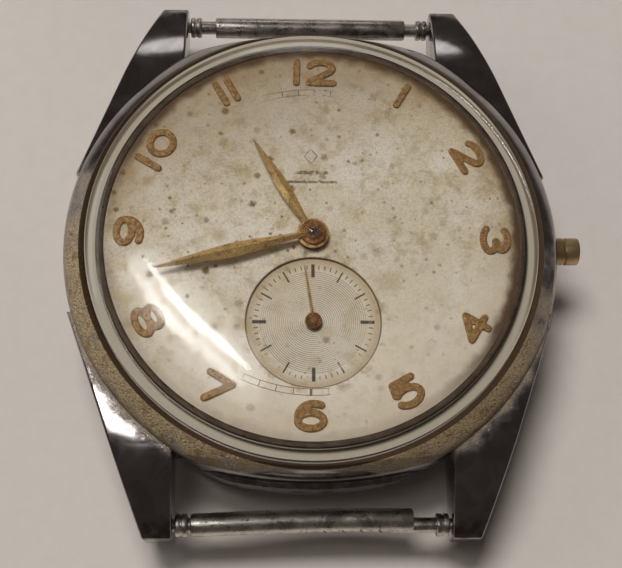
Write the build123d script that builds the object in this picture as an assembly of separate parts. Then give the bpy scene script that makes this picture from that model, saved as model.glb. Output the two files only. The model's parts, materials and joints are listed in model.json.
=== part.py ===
from build123d import *
import math
import os

# Wristwatch head, about 34 mm across, dial up. Millimetres.
# +Z points out of the dial, +Y to 12 o'clock, +X to 3 o'clock along the winding stem.
# The origin is on the dial's axis, on the flat underside of the case back.

# ---- clearances ----
FIT = 0.03            # running clearance on a radius
SEAT = 0.05           # clearance of pieces that are pressed or screwed together
PRESS = 0.01          # gap between pieces pressed together
FREE = 0.15           # clearance round pieces that pass each other

# ---- case ----
CASE_RADIUS = 16.7
CASE_LOW = 1.4
CASE_SHOULDER = 6.75
BEZEL_TOP = 7.65
LOWER_WALL_RADIUS = 16.35
LOWER_WALL_TOP = 2.9
BORE_RADIUS = 13.95
END_Y = 16.05
END_CURVE = 28.0
END_LEAN = 0.21
END_LEDGE = 0.3
END_LEDGE_TOP = 4.6
LUG_GAP = 18.0
LUG_TIP_WIDTH = 1.87
LUG_TIP_Y = 19.45
LUG_TIP_TOP = 4.33
LUG_TIP_BOTTOM = 2.3
LUG_ROOT_TOP = 6.5
LUG_ROOT_Y = 5.0
LUG_BEND_Y = 13.0
CLAMP_GROOVE_RADIUS = 14.6
CLAMP_GROOVE_LOW = 2.9
CLAMP_GROOVE_HIGH = 3.3

# ---- crystal ----
CRYSTAL_RADIUS = 15.1
CRYSTAL_WALL = 0.85
CRYSTAL_SEAT = 7.05
CRYSTAL_RIM = 8.1
CRYSTAL_APEX = 9.95
CRYSTAL_MIDDLE = 1.0

# ---- case back ----
BACK_RADIUS = 15.5
BACK_FLAT_RADIUS = 9.0
BACK_SHEET = 0.6
BACK_SNAP_HIGH = 2.1
BACK_SNAP_WALL = 0.45
GASKET_WALL = 0.5

# ---- spring bars ----
BAR_Y = LUG_TIP_Y - 1.0
BAR_Z = 3.4
BAR_RADIUS = 0.75
BAR_BORE = 0.55
BAR_PIVOT_RADIUS = 0.4
BAR_PIVOT_DEPTH = 0.75
BAR_FLANGE = 0.85
BAR_SHAFT_IN = 1.6
BAR_WIRE = 0.09
BAR_TURNS = 9
BAR_12_LEFT = -7.0
BAR_12_RIGHT = 7.2
BAR_6_LEFT = -7.85
BAR_6_RIGHT = 6.55

# ---- dial and hands ----
DIAL_RADIUS = 13.85
DIAL_LOW = 7.02
DIAL_HIGH = 7.42
SUBDIAL_Y = -5.93
SUBDIAL_RADIUS = 4.36
SUBDIAL_SINK = 0.15
NUMERAL_RADIUS = 12.15
NUMERAL_SIZE = 1.95
NUMERAL_WIDTH = 1.65
NUMERAL_STROKE = 0.48
NUMERAL_SPACE = 0.34
NUMERAL_HEIGHT = 0.12
HOUR_HAND_LENGTH = 7.8
HOUR_HAND_WIDTH = 0.86
HOUR_HUB_RADIUS = 1.05
HOUR_HAND_ANGLE = 329.7
HOUR_HAND_LOW = 7.75
MINUTE_HAND_LENGTH = 10.66
MINUTE_HAND_WIDTH = 0.98
MINUTE_HUB_RADIUS = 0.85
MINUTE_HAND_ANGLE = 256.2
MINUTE_HAND_LOW = 8.03
SECONDS_HAND_LENGTH = 3.78
SECONDS_HAND_WIDTH = 0.34
SECONDS_HUB_RADIUS = 0.55
SECONDS_HAND_ANGLE = 351.6
SECONDS_HAND_LOW = 7.5
HAND_THICKNESS = 0.14
POST_TOP = 8.3

# ---- movement ----
PLATE_RADIUS = 13.8
PLATE_LOW = 5.2
PLATE_HIGH = 6.0
RIM_INNER = 12.6
RIM_LOW = CLAMP_GROOVE_HIGH
BRIDGE_LOW = 3.0
BRIDGE_HIGH = 3.9
BRIDGE_RADIUS = 12.3
PILLAR_RADIUS = 0.8
PIVOT_RADIUS = 0.2
ARBOR_RADIUS = 0.3
JEWEL_RADIUS = 0.55
STEM_Z = 5.0

# ---- wheel train: teeth, and modules that set the distances ----
CENTER_TEETH = 64
CENTER_MODULE = 0.12
THIRD_LEAVES = 8
THIRD_TEETH = 60
THIRD_MODULE = 0.11
FOURTH_LEAVES = 8
FOURTH_TEETH = 70
FOURTH_MODULE = 0.085
ESCAPE_LEAVES = 7
ESCAPE_RADIUS = 2.2
BARREL_TEETH = 78
BARREL_MODULE = 0.135
CENTER_LEAVES = 12
CANNON_TEETH = 12
MINUTE_TEETH = 36
MOTION_MODULE = 0.11
MINUTE_LEAVES = 10
HOUR_TEETH = 40
SETTING_TEETH = 33
RATCHET_TEETH = 52
CROWN_TEETH = 29
WINDING_MODULE = 0.187

# ---- places in plan, from the centre distances ----
CENTER = (0.0, 0.0)
FOURTH = (0.0, SUBDIAL_Y)
BARREL_DISTANCE = (BARREL_TEETH + CENTER_LEAVES) * BARREL_MODULE / 2
THIRD_FROM_CENTER = (CENTER_TEETH + THIRD_LEAVES) * CENTER_MODULE / 2
THIRD_FROM_FOURTH = (THIRD_TEETH + FOURTH_LEAVES) * THIRD_MODULE / 2
ESCAPE_FROM_FOURTH = (FOURTH_TEETH + ESCAPE_LEAVES) * FOURTH_MODULE / 2
MINUTE_DISTANCE = (CANNON_TEETH + MINUTE_TEETH) * MOTION_MODULE / 2
HOUR_MODULE = 2 * MINUTE_DISTANCE / (MINUTE_LEAVES + HOUR_TEETH)
SETTING_DISTANCE = (MINUTE_TEETH + SETTING_TEETH) * MOTION_MODULE / 2
WINDING_DISTANCE = (RATCHET_TEETH + CROWN_TEETH) * WINDING_MODULE / 2
BALANCE = (-8.1, -3.28)
BALANCE_RADIUS = 4.3
PALLET = (-5.93, -4.64)

# ---- winding and setting work ----
STEM_PILOT_RADIUS = 0.35
STEM_PILOT_START = 7.6
STEM_SQUARE_START = 8.4
STEM_SQUARE = 0.7
STEM_ROUND_START = 10.7
STEM_RADIUS = 0.5
STEM_GROOVE_START = 12.4
STEM_GROOVE_END = 13.0
STEM_GROOVE_RADIUS = 0.32
STEM_END = CASE_RADIUS + 0.9
STEM_PULL = 0.8
PINION_SHIFT = 0.6
WINDING_PINION_RADIUS = 1.5
SLIDING_PINION_RADIUS = 1.2
PENDANT_RADIUS = 0.94
PENDANT_ROOT_RADIUS = 1.05
PENDANT_START = 14.0
PENDANT_STEP = CASE_RADIUS - 0.1
PENDANT_BORE = 0.62
PENDANT_END = CASE_RADIUS + 1.75

# ---- automatic work ----
WEIGHT_LOW = 0.8
WEIGHT_HIGH = 2.05
WEIGHT_RADIUS = 12.6
WEIGHT_HALF_ANGLE = 58
WEIGHT_AXLE_RADIUS = 0.8
BUFFER_ANGLE = 28.0
BUFFER_REACH = 10.2

FROM_BELOW = (Align.CENTER, Align.CENTER, Align.MIN)
parts = {}


def polar(radius, degrees, centre=(0.0, 0.0)):
    turn = math.radians(degrees)
    return (centre[0] + radius * math.cos(turn), centre[1] + radius * math.sin(turn))


def disc(radius, low, high, centre=(0.0, 0.0)):
    return Pos(centre[0], centre[1], low) * Cylinder(radius, high - low, align=FROM_BELOW)


def ring(outer, inner, low, high, centre=(0.0, 0.0)):
    return disc(outer, low, high, centre) - disc(inner, low, high, centre)


def rod_x(radius, start, end, y, z):
    return Pos(start, y, z) * Rot(0, 90, 0) * Cylinder(radius, end - start, align=FROM_BELOW)


def block(x, y, z):
    return Pos((x[0] + x[1]) / 2, (y[0] + y[1]) / 2, (z[0] + z[1]) / 2) * Box(
        x[1] - x[0], y[1] - y[0], z[1] - z[0]
    )


def slab(points, low, high):
    return extrude(Plane.XY.offset(low) * make_face(Polyline(*points, close=True)), high - low)


def strap(start, end, width, low, high):
    """A flat bar with round ends between two points in plan."""
    length = math.dist(start, end)
    turn = math.degrees(math.atan2(end[1] - start[1], end[0] - start[0]))
    middle = ((start[0] + end[0]) / 2, (start[1] + end[1]) / 2)
    outline = Pos(middle[0], middle[1], low) * Rot(0, 0, turn) * SlotCenterToCenter(length, width)
    return extrude(outline, high - low)


def lathe(points):
    """A body of revolution about Z from (radius, height) corners."""
    return revolve(Plane.XZ * make_face(Polyline(*points, close=True)), Axis.Z)


def meeting_point(first, first_distance, second, second_distance, side):
    """The point at two given distances from two centres; side picks one of the pair."""
    span = math.dist(first, second)
    along = (first_distance**2 - second_distance**2 + span**2) / (2 * span)
    across = math.sqrt(first_distance**2 - along**2)
    unit = ((second[0] - first[0]) / span, (second[1] - first[1]) / span)
    return (
        first[0] + along * unit[0] - side * across * unit[1],
        first[1] + along * unit[1] + side * across * unit[0],
    )


THIRD = meeting_point(CENTER, THIRD_FROM_CENTER, FOURTH, THIRD_FROM_FOURTH, 1)
ESCAPE = meeting_point(FOURTH, ESCAPE_FROM_FOURTH, BALANCE, 5.3, 1)
BARREL = polar(BARREL_DISTANCE, 60)
CROWN_WHEEL = (
    BARREL[0] + math.sqrt(WINDING_DISTANCE**2 - BARREL[1] ** 2),
    0.0,
)
MINUTE_WHEEL = polar(MINUTE_DISTANCE, -7)
SETTING_WHEEL = (
    MINUTE_WHEEL[0] + math.sqrt(SETTING_DISTANCE**2 - MINUTE_WHEEL[1] ** 2),
    0.0,
)


def toothed_wheel(teeth, module, low, high, centre, tooth_angle=0.0, crossed=False):
    """A wheel with slim straight-sided teeth; one tooth points along tooth_angle."""
    pitch = teeth * module / 2
    root = pitch - 0.95 * module
    tip = pitch + 0.7 * module
    step = 360 / teeth
    outline = []
    for number in range(teeth):
        angle = tooth_angle + number * step
        outline.append(polar(root, angle - 0.27 * step))
        outline.append(polar(tip, angle - 0.09 * step))
        outline.append(polar(tip, angle + 0.09 * step))
        outline.append(polar(root, angle + 0.27 * step))
    wheel = slab(outline, low, high)
    if crossed:
        hub = 0.22 * pitch
        felloe = root - 0.35
        windows = ring(felloe, hub, low, high)
        for spoke in range(2):
            windows -= Rot(0, 0, 90 * spoke) * block(
                (-felloe, felloe), (-0.07 * pitch, 0.07 * pitch), (low, high)
            )
        wheel -= windows
    return Pos(centre[0], centre[1], 0) * wheel


def meshed_angle(teeth, tooth_angle, direction, other_teeth):
    """The tooth angle of a wheel that meshes with another one lying along direction from it."""
    offset = (tooth_angle - direction) / (360 / teeth)
    other_step = 360 / other_teeth
    return direction + 180 - offset * other_step + other_step / 2


def heading(start, end):
    return math.degrees(math.atan2(end[1] - start[1], end[0] - start[0]))


def arbor(centre, low, high, shoulder_low, shoulder_high):
    """A turned arbor with thin pivots at both ends."""
    return disc(PIVOT_RADIUS, low, high, centre) + disc(
        ARBOR_RADIUS, shoulder_low, shoulder_high, centre
    )


# ================= case =================
def lug_profile():
    """The side view of a pair of lugs, drawn across the case along Y."""
    crest = (LUG_ROOT_Y, LUG_ROOT_TOP)
    brow = (LUG_BEND_Y, LUG_ROOT_TOP - 0.05)
    tip_top = (LUG_TIP_Y, LUG_TIP_TOP)
    tip_low = (LUG_TIP_Y, LUG_TIP_BOTTOM)
    belly = (LUG_BEND_Y, LOWER_WALL_TOP - 0.75)
    root_low = (LUG_ROOT_Y, LOWER_WALL_TOP - 0.2)
    edges = [
        Line(crest, brow),
        ThreePointArc(brow, (LUG_BEND_Y + 3.4, LUG_ROOT_TOP - 0.75), tip_top),
        Line(tip_top, tip_low),
        Line(tip_low, belly),
        Line(belly, root_low),
        Line(root_low, crest),
    ]
    side = make_face(Curve() + edges)
    return extrude(Plane.YZ.offset(-CASE_RADIUS) * side, 2 * CASE_RADIUS)


def lug_pair(profile):
    inner = LUG_GAP / 2
    outer = inner + LUG_TIP_WIDTH
    span = math.hypot(outer, LUG_TIP_Y)
    tangent = math.degrees(math.atan2(LUG_TIP_Y, outer) - math.acos(CASE_RADIUS / span))
    touch = polar(CASE_RADIUS, tangent)
    plan = [(inner, LUG_TIP_Y), (outer, LUG_TIP_Y), touch, (inner, touch[1])]
    right = slab(plan, 0, BEZEL_TOP) & profile
    return right + mirror(right, Plane.YZ)


def lug_gap_cut(side):
    """What is cut away between two lugs: the end is nearly straight and leans in above a ledge."""
    middle = (0, side * (END_Y - END_CURVE))
    height = BEZEL_TOP + 1 - END_LEDGE_TOP
    reach = (side * BORE_RADIUS / 2, side * (CASE_RADIUS + 1))
    gap = block((-LUG_GAP / 2, LUG_GAP / 2), (min(reach), max(reach)), (0, BEZEL_TOP + 1))
    ledge = disc(END_CURVE + END_LEDGE, 0, END_LEDGE_TOP, middle)
    wall = Cone(END_CURVE, END_CURVE - END_LEAN * height, height, align=FROM_BELOW)
    return gap - ledge - Pos(middle[0], middle[1], END_LEDGE_TOP) * wall


def make_case_middle():
    body = lathe(
        [
            (BORE_RADIUS, CASE_LOW),
            (LOWER_WALL_RADIUS - 0.75, CASE_LOW),
            (LOWER_WALL_RADIUS, CASE_LOW + 0.45),
            (LOWER_WALL_RADIUS, LOWER_WALL_TOP),
            (CASE_RADIUS, LOWER_WALL_TOP + 0.4),
            (CASE_RADIUS, CASE_SHOULDER - 0.55),
            (CASE_RADIUS - 0.1, CASE_SHOULDER - 0.2),
            (CASE_RADIUS - 0.4, CASE_SHOULDER + 0.08),
            (CRYSTAL_RADIUS + 0.2, BEZEL_TOP),
            (CRYSTAL_RADIUS + SEAT, BEZEL_TOP),
            (CRYSTAL_RADIUS + SEAT, CRYSTAL_SEAT),
            (BORE_RADIUS, CRYSTAL_SEAT),
        ]
    )
    for side in (-1, 1):
        body -= lug_gap_cut(side)
    lugs = lug_pair(lug_profile())
    lugs += mirror(lugs, Plane.XZ)
    body += lugs - disc(BORE_RADIUS + 0.5, 0, BEZEL_TOP)
    body -= ring(CLAMP_GROOVE_RADIUS, BORE_RADIUS - 0.5, CLAMP_GROOVE_LOW, CLAMP_GROOVE_HIGH)
    reach = LUG_GAP / 2 + BAR_PIVOT_DEPTH + SEAT
    for side in (-1, 1):
        body -= rod_x(BAR_PIVOT_RADIUS + SEAT, -reach, reach, side * BAR_Y, BAR_Z)
    body -= rod_x(PENDANT_ROOT_RADIUS + PRESS, BORE_RADIUS - 1, PENDANT_STEP, 0, STEM_Z)
    body -= rod_x(PENDANT_RADIUS + PRESS, PENDANT_STEP, PENDANT_END, 0, STEM_Z)
    return body


parts["case_middle"] = make_case_middle()


def dome(edge_radius, edge_height, apex_height, floor):
    """A solid under a shallow spherical dome."""
    rise = apex_height - edge_height
    radius = (edge_radius**2 + rise**2) / (2 * rise)
    ball = Pos(0, 0, apex_height - radius) * Sphere(radius)
    return ball & disc(edge_radius, floor, apex_height + 1)


def make_crystal():
    inner = CRYSTAL_RADIUS - CRYSTAL_WALL
    outside = dome(CRYSTAL_RADIUS, CRYSTAL_RIM, CRYSTAL_APEX, CRYSTAL_SEAT)
    inside = dome(
        inner, CRYSTAL_RIM - 0.25, CRYSTAL_APEX - CRYSTAL_MIDDLE, CRYSTAL_SEAT - 1
    )
    return outside - inside


parts["crystal"] = make_crystal()

RING_OUTER = CRYSTAL_RADIUS - CRYSTAL_WALL - FIT
RING_LIP = DIAL_RADIUS - 0.15
parts["crystal_tension_ring"] = lathe(
    [
        (DIAL_RADIUS + 0.08, CRYSTAL_SEAT + FIT),
        (RING_OUTER, CRYSTAL_SEAT + FIT),
        (RING_OUTER, CRYSTAL_RIM - 0.4),
        (RING_OUTER - 0.12, CRYSTAL_RIM - 0.4),
        (RING_LIP, DIAL_HIGH + 0.12),
        (RING_LIP, DIAL_HIGH + 0.02),
        (DIAL_RADIUS + 0.08, DIAL_HIGH + 0.02),
    ]
)


def make_case_back():
    snap_outer = BORE_RADIUS - SEAT
    snap_inner = snap_outer - BACK_SNAP_WALL
    return lathe(
        [
            (0, 0),
            (BACK_FLAT_RADIUS, 0),
            (BACK_RADIUS - 0.8, 0.55),
            (BACK_RADIUS, 0.95),
            (BACK_RADIUS, CASE_LOW - FIT),
            (BORE_RADIUS + 0.2 + GASKET_WALL + SEAT, CASE_LOW - FIT),
            (BORE_RADIUS + 0.2 + GASKET_WALL + SEAT, CASE_LOW - 0.3),
            (BORE_RADIUS + 0.2 - SEAT, CASE_LOW - 0.3),
            (BORE_RADIUS + 0.2 - SEAT, CASE_LOW - FIT),
            (snap_outer, CASE_LOW - FIT),
            (snap_outer, BACK_SNAP_HIGH),
            (snap_inner, BACK_SNAP_HIGH),
            (snap_inner, BACK_SHEET + 0.5),
            (WEIGHT_RADIUS + 0.3, BACK_SHEET + 0.05),
            (BACK_FLAT_RADIUS, BACK_SHEET),
            (0, BACK_SHEET),
        ]
    )


parts["case_back"] = make_case_back()
parts["back_gasket"] = ring(
    BORE_RADIUS + 0.2 + GASKET_WALL, BORE_RADIUS + 0.2, CASE_LOW - 0.3 + 0.02, CASE_LOW - PRESS
)


def make_pendant_tube():
    tube = rod_x(PENDANT_ROOT_RADIUS, PENDANT_START, PENDANT_STEP, 0, STEM_Z)
    tube += rod_x(PENDANT_RADIUS, PENDANT_STEP, PENDANT_END, 0, STEM_Z)
    return tube - rod_x(PENDANT_BORE, PENDANT_START, PENDANT_END, 0, STEM_Z)


parts["pendant_tube"] = make_pendant_tube()

CLAMP_ANGLES = (62, 242)
CLAMP_SCREW_REACH = 13.1


def make_clamps():
    clamps = []
    for angle in CLAMP_ANGLES:
        clamp = strap(
            polar(13.2, angle), polar(CLAMP_GROOVE_RADIUS - 0.9, angle), 1.5,
            CLAMP_GROOVE_HIGH - 0.3, CLAMP_GROOVE_HIGH - PRESS,
        )
        clamp -= disc(0.4, 0, 5, polar(CLAMP_SCREW_REACH, angle))
        clamps.append(clamp)
    return clamps


def screw(centre, head_low, head_high, tip, head_radius=0.75, shank_radius=0.35):
    """A slotted screw whose head is towards the case back."""
    body = disc(head_radius, head_low, head_high, centre) + disc(
        shank_radius, head_low, tip, centre
    )
    slot = Pos(centre[0], centre[1], head_low) * Box(2 * head_radius, 0.18, 0.3)
    return body - slot


parts["movement_clamps"] = Compound(children=make_clamps())
parts["clamp_screws"] = Compound(
    children=[
        screw(polar(CLAMP_SCREW_REACH, a), CLAMP_GROOVE_HIGH - 0.75, CLAMP_GROOVE_HIGH - 0.3, 4.4)
        for a in CLAMP_ANGLES
    ]
)


# ================= spring bars =================
def make_bar_tube(left, right, y):
    tube = rod_x(BAR_RADIUS, left, right, y, BAR_Z)
    return tube - rod_x(BAR_BORE, left, right, y, BAR_Z)


def make_bar_tip(side, tube_end, y):
    """One end piece: pivot in the lug, flange, and shaft into the tube."""
    lug = side * LUG_GAP / 2
    pivot = sorted((lug, side * (LUG_GAP / 2 + BAR_PIVOT_DEPTH)))
    flange = sorted((lug - side * 0.15, lug - side * (0.15 + BAR_FLANGE)))
    shaft = sorted((lug, tube_end - side * BAR_SHAFT_IN))
    tip = rod_x(BAR_PIVOT_RADIUS, pivot[0], pivot[1], y, BAR_Z)
    tip += rod_x(BAR_RADIUS - 0.02, flange[0], flange[1], y, BAR_Z)
    tip += rod_x(BAR_PIVOT_RADIUS, shaft[0], shaft[1], y, BAR_Z)
    return tip


def make_bar_spring(left, right, y):
    start = left + BAR_SHAFT_IN + 0.1
    end = right - BAR_SHAFT_IN - 0.1
    coil_radius = BAR_BORE - BAR_WIRE - FIT - 0.02
    start += BAR_WIRE
    end -= BAR_WIRE
    path = Helix((end - start) / BAR_TURNS, end - start, coil_radius)
    section = Plane(origin=path @ 0, z_dir=path % 0) * Circle(BAR_WIRE)
    coil = sweep(section, path=path, is_frenet=True)
    return Pos(start, y, BAR_Z) * Rot(0, 90, 0) * coil


for label, left, right, y in (
    ("12", BAR_12_LEFT, BAR_12_RIGHT, BAR_Y),
    ("6", BAR_6_LEFT, BAR_6_RIGHT, -BAR_Y),
):
    parts[f"bar_tube_{label}"] = make_bar_tube(left, right, y)
    parts[f"bar_tip_{label}_left"] = make_bar_tip(-1, left, y)
    parts[f"bar_tip_{label}_right"] = make_bar_tip(1, right, y)
    parts[f"bar_spring_{label}"] = make_bar_spring(left, right, y)


# ================= dial and hands =================
def make_dial():
    dial = disc(DIAL_RADIUS, DIAL_LOW, DIAL_HIGH)
    dial -= disc(SUBDIAL_RADIUS, DIAL_HIGH - SUBDIAL_SINK, DIAL_HIGH, FOURTH)
    dial -= disc(1.05, DIAL_LOW, DIAL_HIGH)
    dial -= disc(0.35, DIAL_LOW, DIAL_HIGH, FOURTH)
    for angle in (35, 215):
        dial += disc(0.35, PLATE_HIGH - 0.6, DIAL_LOW, polar(11.2, angle))
    return dial


parts["dial"] = make_dial()


def bow(x, y, across, along, first, last):
    """Points along part of an ellipse, counted in degrees from its right-hand side."""
    steps = 10
    angles = [math.radians(first + (last - first) * step / steps) for step in range(steps + 1)]
    return [(x + across * math.cos(turn), y + along * math.sin(turn)) for turn in angles]


# Each numeral is a few pen strokes in a box 1 wide and 2 high, centred on the origin.
STROKES = {
    "0": [bow(0, 0, 0.42, 0.85, 0, 360)],
    "1": [[(0, 0.85), (0, -0.85)]],
    "2": [bow(0, 0.42, 0.42, 0.43, 165, -30) + [(-0.42, -0.85), (0.45, -0.85)]],
    "3": [bow(0, 0.45, 0.38, 0.4, 150, -90), bow(0, -0.4, 0.43, 0.45, 90, -150)],
    "4": [[(0.2, -0.85), (0.2, 0.85), (-0.45, -0.3), (0.45, -0.3)]],
    "5": [[(0.38, 0.85), (-0.3, 0.85), (-0.36, 0.12)], bow(0, -0.3, 0.43, 0.55, 140, -150)],
    "6": [bow(0, -0.35, 0.42, 0.5, 0, 360), bow(0.1, 0, 0.52, 0.85, 190, 60)],
    "7": [[(-0.42, 0.85), (0.42, 0.85), (-0.1, -0.85)]],
    "8": [bow(0, 0.42, 0.36, 0.42, 0, 360), bow(0, -0.42, 0.43, 0.43, 0, 360)],
    "9": [bow(0, 0.35, 0.42, 0.5, 0, 360), bow(-0.1, 0, 0.52, 0.85, 10, -120)],
}


def make_digit(symbol, height, width, middle):
    """One numeral as raised metal strokes, upright in plan about (middle, 0)."""
    digit = None
    for stroke in STROKES[symbol]:
        places = [(middle + x * width, y * height / 2) for x, y in stroke]
        for start, end in zip(places, places[1:]):
            piece = strap(start, end, NUMERAL_STROKE, DIAL_HIGH, DIAL_HIGH + NUMERAL_HEIGHT)
            digit = piece if digit is None else digit + piece
    return digit


def make_numerals():
    numerals = []
    for hour in range(1, 13):
        clock = 30 * hour
        upright = clock if hour in (9, 10, 11, 12, 1, 2, 3) else clock - 180
        place = Pos(*polar(NUMERAL_RADIUS, 90 - clock)) * Rot(0, 0, -upright)
        symbols = str(hour)
        spans = [NUMERAL_STROKE if symbol == "1" else NUMERAL_WIDTH + NUMERAL_STROKE for symbol in symbols]
        start = -(sum(spans) + NUMERAL_SPACE * (len(spans) - 1)) / 2
        for symbol, span in zip(symbols, spans):
            numeral = make_digit(symbol, NUMERAL_SIZE, NUMERAL_WIDTH, start + span / 2)
            numerals.extend((place * numeral).solids())
            start += span + NUMERAL_SPACE
    return Compound(children=numerals)


parts["hour_numerals"] = make_numerals()


def make_hand(length, width, hub_radius, bore, low):
    """A leaf hand along +Y about its own centre."""
    outline = [
        (0.3 * width, 0),
        (0.3 * width, 0.16 * length),
        (0.5 * width, 0.42 * length),
        (0.22 * width, 0.78 * length),
        (0.03, length),
        (-0.03, length),
        (-0.22 * width, 0.78 * length),
        (-0.5 * width, 0.42 * length),
        (-0.3 * width, 0.16 * length),
        (-0.3 * width, 0),
    ]
    hand = slab(outline, low, low + HAND_THICKNESS)
    hand += disc(hub_radius, low, low + HAND_THICKNESS)
    return hand - disc(bore, low, low + HAND_THICKNESS)


HOUR_PIPE_OUTER = 0.8
HOUR_PIPE_INNER = 0.56
CANNON_RADIUS = HOUR_PIPE_INNER - FIT
CENTER_ARBOR = 0.36
parts["hour_hand"] = Rot(0, 0, -HOUR_HAND_ANGLE) * make_hand(
    HOUR_HAND_LENGTH, HOUR_HAND_WIDTH, HOUR_HUB_RADIUS, HOUR_PIPE_OUTER, HOUR_HAND_LOW
)
parts["minute_hand"] = Rot(0, 0, -MINUTE_HAND_ANGLE) * make_hand(
    MINUTE_HAND_LENGTH, MINUTE_HAND_WIDTH, MINUTE_HUB_RADIUS, CANNON_RADIUS, MINUTE_HAND_LOW
)
parts["seconds_hand"] = (
    Pos(FOURTH[0], FOURTH[1], 0)
    * Rot(0, 0, -SECONDS_HAND_ANGLE)
    * make_hand(
        SECONDS_HAND_LENGTH, SECONDS_HAND_WIDTH, SECONDS_HUB_RADIUS, PIVOT_RADIUS, SECONDS_HAND_LOW
    )
)

# ================= motion work, on the dial side of the main plate =================
MOTION_LOW = PLATE_HIGH + 0.06
MINUTE_LOW = MOTION_LOW
MINUTE_HIGH = MINUTE_LOW + 0.2
HOUR_WHEEL_LOW = MINUTE_HIGH + 0.12
HOUR_WHEEL_HIGH = HOUR_WHEEL_LOW + 0.2
minute_phase = meshed_angle(CANNON_TEETH, 0, heading(CENTER, MINUTE_WHEEL), MINUTE_TEETH)
hour_phase = meshed_angle(MINUTE_LEAVES, 0, heading(MINUTE_WHEEL, CENTER), HOUR_TEETH)
setting_phase = meshed_angle(
    MINUTE_TEETH, minute_phase, heading(MINUTE_WHEEL, SETTING_WHEEL), SETTING_TEETH
)


def make_cannon_pinion():
    pinion = toothed_wheel(CANNON_TEETH, MOTION_MODULE, MINUTE_LOW, MINUTE_HIGH + 0.05, CENTER)
    pinion += disc(CANNON_RADIUS, MINUTE_LOW, MINUTE_HAND_LOW + HAND_THICKNESS)
    return pinion - disc(CENTER_ARBOR + PRESS, MINUTE_LOW, POST_TOP)


def make_hour_wheel():
    wheel = toothed_wheel(
        HOUR_TEETH, HOUR_MODULE, HOUR_WHEEL_LOW, HOUR_WHEEL_HIGH, CENTER, hour_phase
    )
    wheel += disc(HOUR_PIPE_OUTER, HOUR_WHEEL_LOW, HOUR_HAND_LOW + HAND_THICKNESS)
    return wheel - disc(HOUR_PIPE_INNER, HOUR_WHEEL_LOW, HOUR_HAND_LOW + HAND_THICKNESS)


STUD_RADIUS = 0.3


def make_minute_wheel():
    wheel = toothed_wheel(
        MINUTE_TEETH, MOTION_MODULE, MINUTE_LOW, MINUTE_HIGH, MINUTE_WHEEL, minute_phase
    )
    wheel += toothed_wheel(
        MINUTE_LEAVES, HOUR_MODULE, MINUTE_HIGH, HOUR_WHEEL_HIGH, MINUTE_WHEEL
    )
    return wheel - disc(STUD_RADIUS + FIT, MINUTE_LOW, HOUR_WHEEL_HIGH, MINUTE_WHEEL)


def make_setting_wheel():
    wheel = toothed_wheel(
        SETTING_TEETH, MOTION_MODULE, MINUTE_LOW, MINUTE_HIGH + 0.1, SETTING_WHEEL, setting_phase
    )
    return wheel - disc(STUD_RADIUS + FIT, MINUTE_LOW, MINUTE_HIGH + 0.1, SETTING_WHEEL)


parts["cannon_pinion"] = make_cannon_pinion()
parts["hour_wheel"] = make_hour_wheel()
parts["minute_wheel"] = make_minute_wheel()
parts["setting_wheel"] = make_setting_wheel()

# ================= stem and pinions =================
WINDING_START = STEM_ROUND_START + 0.1
WINDING_END = STEM_GROOVE_START - 0.15
FACE_TEETH = 12
FACE_TOOTH_DEPTH = 0.25
SLIDING_START = 9.15
SLIDING_END = WINDING_START - FREE - FACE_TOOTH_DEPTH
SLIDING_GROOVE = (9.55, 10.0)
SLIDING_GROOVE_RADIUS = 0.85


def make_stem():
    stem = rod_x(STEM_PILOT_RADIUS, STEM_PILOT_START, STEM_SQUARE_START, 0, STEM_Z)
    stem += block(
        (STEM_SQUARE_START, STEM_ROUND_START),
        (-STEM_SQUARE / 2, STEM_SQUARE / 2),
        (STEM_Z - STEM_SQUARE / 2, STEM_Z + STEM_SQUARE / 2),
    )
    stem += rod_x(STEM_RADIUS, STEM_ROUND_START, STEM_GROOVE_START, 0, STEM_Z)
    stem += rod_x(STEM_GROOVE_RADIUS, STEM_GROOVE_START, STEM_GROOVE_END, 0, STEM_Z)
    stem += rod_x(STEM_RADIUS, STEM_GROOVE_END, STEM_END, 0, STEM_Z)
    return stem


def face_teeth(x, depth, side, outer, inner):
    """A crown of teeth on the end face of a pinion."""
    teeth = None
    for number in range(FACE_TEETH):
        tooth = block((min(x, x + side * depth), max(x, x + side * depth)), (-0.1, 0.1), (inner, outer))
        turn = 360 / FACE_TEETH * number
        tooth = Pos(0, 0, STEM_Z) * Rot(turn, 0, 0) * tooth
        teeth = tooth if teeth is None else teeth + tooth
    return teeth


def make_winding_pinion():
    teeth = 16
    outline = []
    for number in range(teeth):
        angle = 360 / teeth * number
        outline.append(polar(WINDING_PINION_RADIUS - 0.35, angle - 8))
        outline.append(polar(WINDING_PINION_RADIUS, angle - 3))
        outline.append(polar(WINDING_PINION_RADIUS, angle + 3))
        outline.append(polar(WINDING_PINION_RADIUS - 0.35, angle + 8))
    blank = slab(outline, 0, WINDING_END - WINDING_START)
    pinion = Pos(WINDING_START, 0, STEM_Z) * Rot(0, 90, 0) * blank
    return pinion - rod_x(STEM_RADIUS + FIT, WINDING_START, WINDING_END, 0, STEM_Z)


def make_sliding_pinion():
    pinion = rod_x(SLIDING_PINION_RADIUS, SLIDING_START, SLIDING_END, 0, STEM_Z)
    groove = rod_x(SLIDING_PINION_RADIUS + 0.1, SLIDING_GROOVE[0], SLIDING_GROOVE[1], 0, STEM_Z)
    groove -= rod_x(SLIDING_GROOVE_RADIUS, SLIDING_GROOVE[0], SLIDING_GROOVE[1], 0, STEM_Z)
    pinion -= groove
    pinion += face_teeth(SLIDING_END - 0.02, FACE_TOOTH_DEPTH + 0.02, 1, SLIDING_PINION_RADIUS, 0.8)
    bore = STEM_SQUARE / 2 + FIT
    return pinion - block((8, 12), (-bore, bore), (STEM_Z - bore, STEM_Z + bore))


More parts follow.
